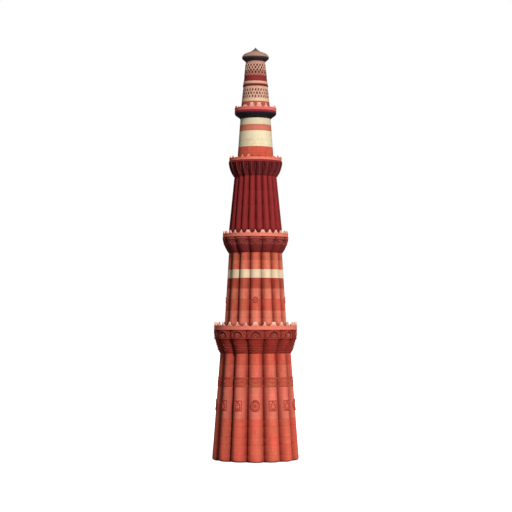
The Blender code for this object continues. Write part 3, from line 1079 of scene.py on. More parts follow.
@dataclass(frozen=True)
class Door:
    """A pointed doorway at the back, cut right through its wall.

    spring is the height of its jambs and rise that of its arch, bore the wall's inner
    radius there, thick the radius of its frame's roll, step whether it has a step, and
    sunk how deep the frame is let into the wall.
    """

    sill: float
    bore: float
    width: float = 0.42
    spring: float = 0.57
    rise: float = 0.23
    thick: float = 0.035
    step: bool = True
    sunk: float = 0.0

    def cutter(self, name: str, wall: Batter) -> Piece:
        """Draws the doorway's own shape, set through the wall at the back.

        Args:
            name: the cutter's name.
            wall: the wall's face.

        Returns:
            The cutter, in edit mode.
        """
        reach = wall.crest(self.sill) + 0.5
        piece = pointed_prism(name, self.width, self.spring, self.rise, self.bore / 2, reach)
        piece.push(0, 0, self.sill)
        piece.turn(math.pi)
        return piece

    def frame(self, name: str, wall: Batter, finish: Stone, bend: float) -> None:
        """Sets a moulded frame round the doorway.

        Args:
            name: the frame's name.
            wall: the face that it stands on.
            finish: its stone.
            bend: radius of the face's curve in plan.
        """
        moulding = Relief(name)
        thick, half = self.thick, self.width / 2 + self.thick
        radius = ((self.width / 2) ** 2 + self.rise**2) / self.width + thick
        sweep = math.degrees(math.acos((radius - half) / radius))
        for side in (1, -1):
            moulding.bar((side * half, thick), (side * half, self.spring), thick)
            centre = (side * (half - radius), self.spring)
            moulding.bow(centre, radius, 90 - 90 * side, side * sweep, thick)
            inner, outer = sorted((side * (half - thick), side * (half + 2 * thick)))
            moulding.slab((inner, self.spring - thick), (outer, self.spring + thick), 1.4 * thick)
        top = self.spring + math.sqrt(radius**2 - (radius - half) ** 2)
        moulding.boss((0.0, top + thick), 1.6 * thick, 1.3 * thick, 1.3)
        if self.step:
            moulding.slab((-half - thick, 0.0), (half + thick, 0.05), 1.3 * thick)
        moulding.dress(bend, wall.sunk(self.sunk), self.sill, [math.pi], finish)


def battered(
    wall: Batter, low: float, high: float, joints: Sequence[float], width: float
) -> list[Course]:
    """Courses of a leaning wall with a V joint at each of the given heights.

    Args:
        wall: the wall's lean.
        low: where the courses start.
        high: where they end.
        joints: heights of the joints, from the bottom up.
        width: half the width of a joint, and its depth.

    Returns:
        The courses, with no valley share of their own.
    """
    courses = [Course(low, wall.crest(low))]
    for z in joints:
        for offset, depth in ((-width, 0.0), (0.0, width), (width, 0.0)):
            courses.append(Course(z + offset, wall.crest(z + offset) - depth))
    return [*courses, Course(high, wall.crest(high))]


def curve_weights(t: float) -> tuple[float, float, float, float]:
    """Shares of four points in a smooth curve, t of the way from the second to the third."""
    return (
        (-t + 2 * t**2 - t**3) / 2, (2 - 5 * t**2 + 3 * t**3) / 2, (t + 4 * t**2 - 3 * t**3) / 2,
        (-(t**2) + t**3) / 2,
    )


def mixed(courses: Sequence[Course], shares: Sequence[float]) -> Course:
    """One course from several, by their shares."""
    pairs = list(zip(shares, courses))
    return Course(*(sum(share * getattr(one, name) for share, one in pairs) for name in COURSE_FIELDS))


def smoothed(courses: Sequence[Course], steps: int = 4) -> list[Course]:
    """Puts more courses on a smooth curve through all of the given ones.

    Args:
        courses: the given ones.
        steps: how many each but the last becomes.

    Returns:
        The courses.
    """
    last = len(courses) - 1
    rounded = []
    for number in range(last):
        four = [courses[max(0, min(last, number + n))] for n in (-1, 0, 1, 2)]
        rounded += [mixed(four, curve_weights(step / steps)) for step in range(steps)]
    return [*rounded, courses[-1]]


def spread(count: int, step: float = 1.0) -> list[float]:
    """Places of count things side by side about zero, step apart."""
    return [(number - (count - 1) / 2) * step for number in range(count)]


def profile_of(*rows: tuple[float, ...]) -> tuple[Course, ...]:
    """Courses from rows of height, crest and, for a fluted outline, valley share."""
    return tuple(Course(*row) for row in rows)


def node_top(node: str) -> float:
    """Height of a node's upper face."""
    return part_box(node)[1].z


def node_foot(node: str) -> float:
    """Height of a node's lower face."""
    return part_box(node)[0].z


FLUTED = Flutes(count=14, valley=0.87)
RIBBED = Flutes(count=20, valley=0.90, turn=0.5)

SALMON = Stone(
    name="salmon_wall", slot="salmon_sandstone", colour=(0.78, 0.15, 0.10), deep=(0.24, 0.024, 0.016),
    worn=(0.90, 0.36, 0.27), drift=(0.62, 0.20, 0.10), course=0.31, blocks=98, flutes=FLUTED,
    hollow_depth=0.6,
)
STOREY_1_STONE = replace(
    SALMON, name="storey_1_stone",
    zones=(
        Zone(0.05, (0.30, 0.030, 0.018)), Zone(3.637, (0.84, 0.135, 0.088)),
        Zone(6.41, (0.88, 0.205, 0.145)), Zone(7.26, (0.60, 0.108, 0.072)),
        Zone(8.325, (0.80, 0.165, 0.112)), Zone(9.4, (0.74, 0.110, 0.072)),
    ),
)
STOREY_2_STONE = replace(
    SALMON, name="storey_2_stone",
    zones=(
        Zone(13.00, (0.88, 0.240, 0.165)), Zone(13.98, (0.74, 0.125, 0.078)),
        Zone(14.88, (0.88, 0.225, 0.155)), Zone(15.84, (0.52, 0.080, 0.050)),
        Zone(17.39, (0.86, 0.215, 0.130)), Zone(18.2, (0.70, 0.150, 0.088)),
    ),
    # painted shadow on the wall's foot inside balcony 1's parapet
    painted_foot_shade=(11.62, 12.05),
)
CARVED_SALMON = replace(
    SALMON, name="carved_salmon", colour=(0.50, 0.080, 0.052), course=0.0, flutes=None
)
ROSETTE_SALMON = replace(CARVED_SALMON, name="rosette_salmon", colour=(0.50, 0.078, 0.055), drift=None)
MARBLE = Stone(
    name="cream_marble_face", slot="cream_marble", colour=(0.93, 0.74, 0.51), deep=(0.50, 0.34, 0.23),
    worn=(0.97, 0.90, 0.74), drift=(0.74, 0.62, 0.42), roughness=0.6, contrast=0.06, course=0.39,
    blocks=70, block_length=0.22, joint_depth=0.25, block_contrast=0.04, flutes=FLUTED,
    valley_depth=0.6,
)
DARK_RED = Stone(
    name="dark_red_corbel", slot="dark_red_sandstone", colour=(0.36, 0.036, 0.024),
    deep=(0.14, 0.013, 0.010), worn=(0.56, 0.12, 0.08), drift=(0.27, 0.024, 0.018), flutes=FLUTED,
    valley_depth=0.6, edge_share=0.5, hollow_size=0.2,
)
CORBEL_2_STONE = replace(DARK_RED, name="corbel_2_stone", colour=(0.25, 0.030, 0.030))
CARVED_DARK = replace(DARK_RED, name="carved_dark_red", colour=(0.48, 0.090, 0.062), flutes=None)
RIDGE_STONE = replace(CARVED_DARK, name="cup_ridges", colour=(0.56, 0.130, 0.094), hollow_depth=0.3)
FRINGE_STONE = replace(RIDGE_STONE, name="frieze_fringe", colour=(0.72, 0.20, 0.14))
LEAF_STONE = replace(CARVED_DARK, name="leaf_carving_stone", colour=(0.39, 0.092, 0.074))
PINK_ROSETTE = replace(FRINGE_STONE, name="pink_rosette", colour=(0.52, 0.13, 0.11))
# painted shade: near-black for the insides of corbel 1's niches and the spots between corbel 2's leaves
NICHE = replace(
    CARVED_DARK, name="niche_dark", colour=(0.20, 0.024, 0.018), worn=(0.3, 0.04, 0.03), hollow_depth=0.4
)
COPING = Stone(
    name="coping", slot="light_salmon_sandstone", colour=(0.88, 0.235, 0.165), deep=(0.30, 0.04, 0.025),
    worn=(0.96, 0.55, 0.42), contrast=0.12, cloud=0.5,
)
CRIMSON = Stone(
    name="crimson_ribs", slot="crimson_sandstone", colour=(0.33, 0.030, 0.032),
    deep=(0.155, 0.010, 0.010), worn=(0.42, 0.06, 0.06), contrast=0.08, course=0.33, blocks=80,
    block_length=0.18, joint_depth=0.2, flutes=RIBBED, valley_spread=0.45, hollow_depth=0.3,
    # painted shadow on the wall's foot inside balcony 2's parapet
    painted_foot_shade=(19.90, 20.25),
)
PLAIN_CRIMSON = replace(CRIMSON, name="plain_crimson", flutes=None, course=0.0, painted_foot_shade=None)
LANTERN_CRIMSON = replace(PLAIN_CRIMSON, name="lantern_crimson", colour=(0.28, 0.030, 0.033))
MAROON = replace(
    CRIMSON, name="maroon_cup", slot="dark_crimson_sandstone", colour=(0.155, 0.016, 0.018),
    deep=(0.050, 0.004, 0.005), course=0.0, valley_depth=0.5, painted_foot_shade=None,
    zones=(
        Zone(25.00, (0.24, 0.026, 0.027)), Zone(25.20, (0.20, 0.021, 0.023)),
        Zone(26.2, (0.155, 0.016, 0.018)),
    ),
)
BLADE = replace(MAROON, name="maroon_blades", colour=(0.30, 0.055, 0.058), flutes=None, zones=())
# painted shade: near-black for the insides of corbel 3's niches
MAROON_NICHE = replace(BLADE, name="maroon_niche", colour=(0.05, 0.008, 0.008), worn=(0.1, 0.02, 0.02))
DRUM_MARBLE = replace(
    MARBLE, name="drum_marble", colour=(0.93, 0.81, 0.545), flutes=None, blocks=36, block_length=0.26,
    course=0.27,
)
# painted shadow: the marble under balcony 4, darkened where the balcony's shadow falls
SHADED_MARBLE = replace(DRUM_MARBLE, name="shaded_marble", colour=(0.80, 0.71, 0.485))
DRUM_RED = replace(
    SALMON, name="drum_red", slot="red_sandstone", colour=(0.66, 0.105, 0.063), flutes=None, blocks=36,
    # painted shadow on the wall's foot inside balcony 3's parapet
    painted_foot_shade=(26.35, 26.65),
)
LANTERN_BASE = replace(DRUM_RED, name="lantern_base", colour=(0.42, 0.10, 0.062), painted_foot_shade=None)
PLAIN_RED = replace(DRUM_RED, name="plain_red", colour=(0.50, 0.10, 0.062), course=0.0, painted_foot_shade=None)
DRUM_SALMON = replace(SALMON, name="drum_salmon", colour=(0.68, 0.20, 0.140), flutes=None, blocks=36)
CREAM = replace(MARBLE, name="lantern_cream", colour=(0.83, 0.57, 0.37), flutes=None, course=0.0)
PALE_PINK = replace(CREAM, name="lantern_pale_band", colour=(0.80, 0.44, 0.31))
DARK_ROLL = replace(DARK_RED, name="dark_roll", colour=(0.19, 0.022, 0.016), flutes=None)
SLATE = Stone(
    name="slate_face", slot="slate_moulding", colour=(0.030, 0.024, 0.034), deep=(0.006, 0.005, 0.008),
    worn=(0.10, 0.08, 0.09), roughness=0.55,
)
EAVE_SLATE = replace(SLATE, name="eave_slate", colour=(0.075, 0.047, 0.060))
LATTICE = Stone(
    name="lattice_face", slot="carved_lattice", colour=(0.74, 0.46, 0.34), deep=(0.16, 0.035, 0.022),
    worn=(0.90, 0.72, 0.58), drift=(0.66, 0.26, 0.20), hollow_size=0.06, cloud=0.3,
)
UPPER_LATTICE = replace(
    LATTICE, name="upper_lattice_face",
    zones=(
        Zone(33.95, (0.42, 0.13, 0.10)), Zone(34.60, (0.44, 0.17, 0.125)),
        Zone(35.0, (0.52, 0.29, 0.22)),
    ),
)
STROKE = replace(
    LATTICE, name="lattice_strokes",
    zones=(Zone(34.12, (0.50, 0.27, 0.20)), Zone(35.0, (0.88, 0.61, 0.46))), hollow_depth=0.3,
    drift=None,
)
# painted shade: near-black for the insides of the lattice hollows
HOLLOW = replace(LATTICE, name="lattice_hollow", colour=(0.11, 0.020, 0.015), worn=(0.15, 0.03, 0.02))
ROOF = Stone(
    name="roof_face", slot="brown_roof", colour=(0.42, 0.25, 0.18), deep=(0.05, 0.035, 0.03),
    worn=(0.55, 0.42, 0.33), cloud=0.35, contrast=0.2,
    zones=(Zone(35.32, (0.06, 0.042, 0.048)), Zone(35.9, (0.42, 0.25, 0.18))),
)
KNOB = replace(ROOF, name="knob_face", colour=(0.17, 0.12, 0.10), zones=())
PAVING = Stone(
    name="paving", slot="floor_stone", colour=(0.50, 0.36, 0.28), deep=(0.12, 0.07, 0.05),
    worn=(0.66, 0.52, 0.42), course=0.5, blocks=24, block_length=0.5,
)


@dataclass(frozen=True)
class FlutedStorey:
    """A storey's fluted wall, in rings one over the other, with a doorway at the back.

    foot lists heights, and how far the wall's foot draws in there. A joint nearer than
    joint_clear to a ring's end is left out. sides are those of the full circle that a
    flute's curve is cut from.
    """

    name: str
    flutes: Flutes
    wall: Batter
    bores: Batter
    stone: Stone
    trim: Stone
    joints: tuple[float, ...]
    door: Door
    joint_width: float = 0.02
    joint_clear: float = 0.03
    foot: tuple[tuple[float, float], ...] = ()
    sides: int = 44

    def bend(self, z: float) -> float:
        """Radius of a flute's curve in plan at height z."""
        return self.flutes.shape(self.wall.crest(z))[0]

    def ring(self, name: str, low: float, high: float) -> Piece:
        """Draws one ring of the wall.

        Args:
            name: the ring's name.
            low: height of its foot.
            high: height of its head.

        Returns:
            The ring, in edit mode.
        """
        ends = (low + self.joint_clear, high - self.joint_clear)
        inside = [z for z in self.joints if ends[0] < z < ends[1]]
        courses = battered(self.wall, low, high, inside, self.joint_width)
        if low == self.wall.foot and self.foot:
            rounded = [Course(z, self.wall.crest(z) - inset) for z, inset in self.foot]
            courses = [*rounded, *courses[1:]]
        bores = (self.bores.crest(low), self.bores.crest(high))
        piece = Piece(name)
        piece.fluted_ring(
            self.flutes, [replace(c, valley=self.flutes.valley) for c in courses], bores, self.sides
        )
        return piece

    def build(self) -> None:
        """Makes it, with no carving."""
        self.build_lower_wall(self.wall.head)

    def build_lower_wall(self, high: float) -> None:
        """The ring that has the doorway, and the doorway's frame.

        Args:
            high: height of the ring's head.
        """
        ring = self.ring(self.name + "_wall", self.wall.foot, high)
        ring.cut(self.door.cutter(self.name + "_doorway", self.wall))
        parts = ("wall_front", "wall_right", "wall_left", "over_door")
        ring.set_in_place(self.stone, [f"{self.name}_{part}" for part in parts])
        bend = self.bend(self.door.sill + self.door.spring)
        if self.flutes.turn:
            # its doorway lies in a valley
            bend = self.wall.sunk(self.door.sunk).foot_crest
        self.door.frame(self.name + "_door_frame", self.wall, self.trim, bend)


@dataclass(frozen=True)
class CarvedStorey(FlutedStorey):
    """A fluted storey with oval rosettes.

    rosettes numbers the flutes that have one, from the front. rosette_z is the height of
    their middle, and rosette_half half their width.
    """

    rosettes: tuple[int, ...] = (0, 3, 6, 8, 11)
    rosette_z: float = 4.84
    rosette_half: float = 0.36

    def build_rosettes(self) -> None:
        """The rosettes: two rings, eight leaves and a boss each."""
        size, z = self.rosette_half, self.rosette_z
        relief = Relief(self.name + "_rosettes")
        relief.ring((0.0, 0.0), 2 * size, 2.5 * size, 0.19 * size)
        relief.ring((0.0, 0.0), 1.25 * size, 1.7 * size, 0.10 * size)
        for angle in range(90, 450, 45):
            lean = math.radians(angle)
            root = (0.16 * size * math.cos(lean), 0.2 * size * math.sin(lean))
            relief.leaf(root, 0.50 * size, 0.28 * size, angle, 0.12 * size)
        relief.boss((0.0, 0.0), 0.2 * size, 0.16 * size, 1.2)
        azimuths = self.flutes.azimuths(self.rosettes)
        relief.dress(self.bend(z), self.wall, z, azimuths, ROSETTE_SALMON)


@dataclass(frozen=True)
class FirstStorey(CarvedStorey):
    """The lowest storey, with its carved belt, rosettes and panels.

    belt gives the heights of the belt's outer rolls, and panel_half half a panel's width.
    """

    belt: tuple[float, float] = (6.48, 7.19)
    panel_half: float = 0.33

    def build(self) -> None:
        """Makes it all."""
        self.build_lower_wall(self.wall.head)
        self.build_belt()
        self.build_rosettes()
        self.build_panels()

    def build_belt(self) -> None:
        """A carved belt round all flutes: rolls, rows of beads, and scrolls on each flute."""
        low, high = self.belt
        middle, half = (low + high) / 2, (high - low) / 2
        width = self.flutes.width(self.wall.crest(middle))
        relief = Relief(self.name + "_carved_belt")
        reach = width / 2 - 0.01
        for z, thick in ((-half, 0.036), (-half + 0.11, 0.018), (half - 0.11, 0.018), (half, 0.036)):
            relief.bar((-reach, z), (reach, z), thick)
        beads = 9
        for x in spread(beads, width / beads):
            for side in (1, -1):
                relief.boss((x, side * (half - 0.055)), 0.030, 0.026)
        room = half - 0.14
        for side in (1, -1):
            for shift in (0.25, 0.62):
                x = side * shift * width / 2
                relief.bow((x, 0.0), 0.55 * room, 90 - 90 * side, side * 250, 0.028)
                relief.bow((x, 0.0), 0.22 * room, 90 + 90 * side, side * -200, 0.020)
                for way in (1, -1):
                    angle = way * 90 - side * 20
                    relief.leaf((x, way * 0.45 * room), 0.5 * room, 0.3 * room, angle, 0.03)
        for angle in (40, 90, 140):
            relief.leaf((0.0, -0.35 * room), 1.1 * room, 0.35 * room, angle, 0.04)
        relief.boss((0.0, -0.4 * room), 0.2 * room, 0.04)
        relief.dress(self.bend(middle), self.wall, middle, self.flutes.azimuths(), self.trim)

    def build_panels(self) -> None:
        """Upright panels on the other flutes: a frame, a small square over an arch, and bars."""
        size, z = self.panel_half, self.rosette_z
        relief = Relief(self.name + "_panels")
        tall = 1.25 * size
        thick = 0.15 * size
        for side in (1, -1):
            relief.bar((side * size, -tall), (side * size, tall), thick)
            relief.bar((-size, side * tall), (size, side * tall), thick)
            relief.bow((side * -0.35 * size, 0.0), 0.9 * size, 90 - 90 * side, side * 67, thick)
            relief.bar((side * 0.55 * size, -0.75 * tall), (side * 0.55 * size, 0.0), thick)
        relief.slab((-0.3 * size, 0.68 * tall), (0.3 * size, 0.90 * tall), 0.5 * thick + 0.01)
        relief.bar((-0.55 * size, -0.75 * tall), (0.55 * size, -0.75 * tall), thick)
        relief.boss((0.0, 0.1 * tall), 0.18 * size, 0.12 * size)
        for angle in (35, 90, 145):
            relief.leaf((0.0, -0.6 * tall), 0.5 * size, 0.24 * size, angle, 0.11 * size)
        azimuths = self.flutes.azimuths(self.flutes.others(self.rosettes))
        relief.dress(self.bend(z), self.wall, z, azimuths, ROSETTE_SALMON)


class SecondStorey(CarvedStorey):
    """The second storey: its lower wall, marble band and upper wall."""

    def build(self) -> None:
        """Makes it all."""
        band = self.name + "_marble_band"
        low, high = node_foot(band), node_top(band)
        self.build_lower_wall(low)
        self.ring(self.name + "_marble_ring", low, high).set_in_place(MARBLE, [band])
        upper = self.ring(self.name + "_wall_over_band", high, self.wall.head)
        upper.set_in_place(self.stone, [self.name + "_upper_wall"])
        self.build_rosettes()


@dataclass(frozen=True)
class FlutedCorbel:
    """A fluted cup that widens upwards, with a frieze on it that has a lip at each end."""

    name: str
    flutes: Flutes
    cup: tuple[Course, ...]
    frieze: tuple[Course, Course]
    bore: float
    stone: Stone
    lip: float

    @property
    def frieze_face(self) -> Batter:
        """The frieze's face between its lips."""
        low, high = self.frieze
        return Batter(low.z, high.z, low.crest - self.lip, high.crest - self.lip)

    @property
    def frieze_bend(self) -> float:
        """Radius of a flute's curve in plan at the frieze's foot."""
        return self.flutes.shape(self.frieze_face.foot_crest, self.frieze[0].valley)[0]

    @property
    def frieze_width(self) -> float:
        """Length of a flute's curve there."""
        return self.flutes.width(self.frieze_face.foot_crest, self.frieze[0].valley)

    def build_cup(self) -> None:
        """The cup, lofted through its courses."""
        piece = Piece(self.name + "_cup_shell")
        piece.fluted_ring(self.flutes, smoothed(self.cup), (self.bore, self.bore))
        piece.set_in_place(self.stone, [self.name + "_cup"])

    def frieze_ring(self) -> Piece:
        """Draws the frieze's wall.

        Returns:
            The wall, in edit mode.
        """
        low, high = self.frieze
        courses = [
            replace(low, crest=low.crest - self.lip), replace(low, z=low.z + 0.02),
            replace(low, z=low.z + 0.07), replace(low, z=low.z + 0.09, crest=low.crest - self.lip),
            replace(high, z=high.z - 0.07, crest=high.crest - self.lip), replace(high, z=high.z - 0.05),
            high,
        ]
        piece = Piece(self.name + "_frieze_wall")
        piece.fluted_ring(self.flutes, courses, (self.bore, self.bore))
        return piece


@dataclass(frozen=True)
class FirstCorbel(FlutedCorbel):
    """The corbel under the first balcony: a ridged cup, and niches in its frieze."""

    waves: tuple[tuple[float, ...], ...] = (
        (0.0, -0.02, 0.3, 0.03), (0.25, -0.06, -0.5, 0.04), (-0.2, 0.05, 0.4, -0.05),
        (0.1, -0.07, -0.45, 0.03), (-0.3, -0.06, 0.35, 0.05), (0.0, 0.06, 0.55, -0.03),
    )
    niche_half: float = 0.50
    niche_depth: float = 0.10
    fan_ribs: int = 9
    scallops: int = 8
    rosettes: tuple[int, ...] = (3, 10)

    def build(self) -> None:
        """Makes it all."""
        self.build_cup()
        self.build_ridges()
        self.build_frieze()
        self.build_fans()
        self.build_rosettes()

    def build_ridges(self) -> None:
        """Thin ridges round the cup, each with waves of its own."""
        piece = Piece(self.name + "_ridges")
        line = smoothed(self.cup, 8)
        embed, rise, thick = 0.02, 0.030, 0.024
        for number, wave in enumerate(self.waves):
            course = line[round((number + 0.9) * (len(line) - 1) / (len(self.waves) + 0.4))]
            first = replace(course, z=course.z - thick, crest=course.crest - embed)
            piece.flute(self.flutes, first, 40)
            half_chord = self.flutes.shape(first.crest, first.valley)[1]
            for share, lift in zip(wave[::2], wave[1::2]):
                self.wave(piece, share * half_chord, 0.55 * half_chord, lift)
            proud = replace(course, crest=course.crest + rise)
            piece.loft((first, proud, replace(first, z=course.z + thick), first), self.flutes)
            bpy.ops.mesh.reveal(select=False)
        piece.ring_round(self.flutes.count)
        piece.set_in_place(RIDGE_STONE)

    def wave(self, piece: Piece, x: float, reach: float, lift: float) -> None:
        """Lifts a stretch of the visible line softly, and selects the line.

        Args:
            piece: the ridges.
            x: the stretch's middle.
            reach: half its length.
            lift: how far its middle rises.
        """
        piece.pick(lambda place: abs(place.x - x) < 0.2 * reach)
        bpy.ops.transform.translate(
            value=(0, 0, lift), use_proportional_edit=True, use_proportional_connected=True,
            proportional_edit_falloff="SMOOTH", proportional_size=reach,
        )
        bpy.ops.mesh.select_all(action="SELECT")

    def build_frieze(self) -> None:
        """The frieze's wall, with a pointed niche in each flute but those with rosettes."""
        ring = self.frieze_ring()
        low = self.frieze[0]
        reach = low.crest + 0.2
        back = low.crest - self.lip - self.niche_depth
        cutter = pointed_prism(
            self.name + "_niches", 2 * self.niche_half, spring=0.06, rise=0.46, near=back, far=reach
        )
        cutter.push(0, 0, low.z + 0.14)
        cutter.copy_round(self.flutes.azimuths(self.flutes.others(self.rosettes)))
        # the niches' cut faces take the near-black finish: painted shade in the recesses
        cutter.mesh.materials.append(NICHE.material())
        ring.cut(cutter)
        ring.set_in_place(self.stone, [self.name + "_frieze"])

    def build_fans(self) -> None:
        """A fan of ribs in each niche, a moulding over it, and a fringe under it."""
        low = self.frieze[0]
        face = self.frieze_face
        azimuths = self.flutes.azimuths(self.flutes.others(self.rosettes))
        fan = Relief(self.name + "_niche_fans")
        for place in spread(self.fan_ribs):
            angle = 90 + place * 20
            length = 0.41 - 0.010 * abs(place)
            lean = math.radians(angle)
            fan.leaf((0.07 * math.cos(lean), 0.07 * math.sin(lean)), length, 0.07, angle, 0.08)
        fan.boss((0.0, 0.03), 0.075, 0.06)
        fan.seat(face.sunk(0.095), low.z + 0.15, azimuths)
        fan.set_in_place(RIDGE_STONE)
        moulding = Relief(self.name + "_niche_mouldings")
        half, rise = self.niche_half + 0.03, 0.50
        radius = (half**2 + rise**2) / (2 * half)
        sweep = math.degrees(math.asin(rise / radius))
        outer = self.frieze_width / 2
        for side in (1, -1):
            moulding.bow((side * (half - radius), 0.06), radius, 90 - 90 * side, side * sweep, 0.042)
            moulding.bow((side * 0.74 * outer, 0.36), 0.11, 90 + 90 * side, side * -250, 0.032)
            moulding.leaf((side * 0.80 * outer, 0.02), 0.24, 0.12, 90 + side * 12, 0.045)
        step = 2 * (0.92 * outer) / self.scallops
        for x in spread(self.scallops, step):
            moulding.bow((x, 0.0), step / 2, 180, 180, 0.028, steps=6)
        moulding.dress(self.frieze_bend, face, low.z + 0.12, azimuths, CARVED_DARK)

    def build_rosettes(self) -> None:
        """Round rosettes on two flutes, in place of their niches."""
        rosette = Relief(self.name + "_rosettes")
        rosette.ring((0.0, 0.0), 0.36, 0.36, 0.035)
        for angle in range(0, 360, 45):
            rosette.leaf((0.0, 0.0), 0.16, 0.07, angle, 0.04)
        rosette.boss((0.0, 0.0), 0.05, 0.05)
        z, azimuths = self.frieze[0].z + 0.42, self.flutes.azimuths(self.rosettes)
        rosette.dress(self.frieze_bend, self.frieze_face, z, azimuths, PINK_ROSETTE)


@dataclass(frozen=True)
class SecondCorbel(FlutedCorbel):
    """The corbel under the second balcony, its cup carved with leaves near the top."""

    carving: Batter = Batter(18.64, 19.12, 2.75, 2.89)
    carving_z: float = 18.88
    fringe_z: float = 19.27
    valley: float = 0.91

    def build(self) -> None:
        """Makes it all."""
        self.build_cup()
        self.frieze_ring().set_in_place(self.stone, [self.name + "_frieze"])
        self.build_leaves()
        self.build_fringe()

    def build_leaves(self) -> None:
        """Scrolls and leaves on the upper half of the cup, with dark domes of painted shade between
        them.
        """
        crest = self.carving.crest(self.carving_z)
        width = self.flutes.width(crest, self.valley)
        scrolls = [(side * 0.17 * width, 0.06, side, 0.125) for side in (1, -1)]
        scrolls += [(side * 0.36 * width, -0.06, side, 0.105) for side in (1, -1)]
        relief = Relief(self.name + "_leaf_carving")
        for x, z, side, radius in scrolls:
            relief.bow((x, z), radius, 90 - 90 * side, side * 290, 0.030)
        for side in (1, -1):
            relief.leaf((side * 0.05, -0.02), 0.25, 0.09, -90 + side * 38, 0.05)
            relief.leaf((side * 0.40 * width, 0.02), 0.22, 0.10, 90 - side * 14, 0.05)
            relief.bow((side * 0.30 * width, -0.20), 0.16, 90 - 70 * side, side * 140, 0.026)
        relief.leaf((0.0, -0.10), 0.34, 0.12, 90, 0.06)
        reach = 0.49 * width
        relief.bar((-reach, 0.22), (reach, 0.22), 0.026)
        bend = self.flutes.shape(crest, self.valley)[0]
        relief.dress(bend, self.carving, self.carving_z, self.flutes.azimuths(), LEAF_STONE)
        # low domes in the near-black niche finish: painted shade where hollows would be
        hollows = Relief(self.name + "_leaf_painted_shade")
        for x, z, _, radius in (*scrolls, (0.0, -0.17, 1, 0.10)):
            hollows.boss((x, z), 0.75 * radius, 0.012)
        hollows.dress(bend, self.carving, self.carving_z, self.flutes.azimuths(), NICHE)

    def build_fringe(self) -> None:
        """Small arches with a bud in each, round the frieze."""
        relief = Relief(self.name + "_frieze_carving")
        arches = 5
        step = 0.92 * self.frieze_width / arches
        for x in spread(arches, step):
            relief.bow((x, -0.03), 0.42 * step, 0, 180, 0.018, steps=6)
            relief.leaf((x, -0.05), 0.11, 0.06, 90, 0.03)
        azimuths = self.flutes.azimuths()
        relief.dress(self.frieze_bend, self.frieze_face, self.fringe_z, azimuths, FRINGE_STONE)


@dataclass(frozen=True)
class RibbedCorbel:
    """The splayed corbel under the third balcony: shallow ribs, thin blades and niches."""

    name: str
    flutes: Flutes
    cup: tuple[Course, ...]
    bore: float
    niche_z: float = 25.60
    roll_z: float = 26.0
    roll_radius: float = 2.30

    def build(self) -> None:
        """Makes the cup, its blades and its roll."""
        self.build_cup()
        self.build_blades()
        roll = Piece(self.name + "_roll")
        place = (0, 0, self.roll_z)
        radius = self.roll_radius
        bpy.ops.mesh.primitive_torus_add(
            major_segments=120, minor_segments=10, major_radius=radius, minor_radius=0.07, location=place
        )
        roll.swell(1, 1, 1.1, place)
        roll.set_in_place(PLAIN_CRIMSON)

    def build_cup(self) -> None:
        """The cup, with an arched niche between each two ribs."""
        cup = Piece(self.name + "_cup_shell")
        cup.fluted_ring(self.flutes, smoothed(self.cup), (self.bore, self.bore), sides=36)
        niches = pointed_prism(
            self.name + "_niches", width=0.22, spring=0.10, rise=0.16, near=2.16, far=2.6
        )
        niches.push(0, 0, self.niche_z)
        niches.copy_round(Flutes(self.flutes.count, 1.0).azimuths())
        # the niches' cut faces take the near-black finish: painted shade in the recesses
        niches.mesh.materials.append(MAROON_NICHE.material())
        cup.cut(niches)
        cup.set_in_place(MAROON, [self.name])

    def build_blades(self) -> None:
        """A thin blade up each rib, and a thinner one in each valley's upper half."""
        piece = Piece(self.name + "_blades")
        depth, rise = 0.10, 0.035
        line = smoothed(self.cup, 3)[:-1]
        for courses, half, turn in ((line, 0.022, self.flutes.turn), (line[5:], 0.014, 0.0)):
            piece.pick_all()
            bpy.ops.mesh.hide()
            first = courses[0]
            crest = 1.0 if turn else 0.5 * (1 + first.valley)
            middle = (0, -(first.crest * crest + rise - depth / 2), first.z)
            bpy.ops.mesh.primitive_plane_add(size=1, location=middle)
            piece.swell(2 * half, depth, 1, middle)
            for before, after in zip(courses, courses[1:]):
                piece.extrude(0, (before.crest - after.crest) * crest, after.z - before.z)
            piece.pick_all()
            piece.turn(2 * self.flutes.half * turn)
            bpy.ops.mesh.reveal(select=False)
        piece.ring_round(self.flutes.count)
        piece.set_in_place(BLADE)


class Merlon(Enum):
    """Forms of a merlon: its tip's half width, in spacings, and what is left of its height."""

    POINTED = (0.045, 1.0)
    BLUNT = (0.12, 0.97)
    WIDE = (0.20, 0.94)
    THIN = (0.025, 0.9)
    STUB = (0.15, 0.5)
    WORN = (0.12, 0.16)


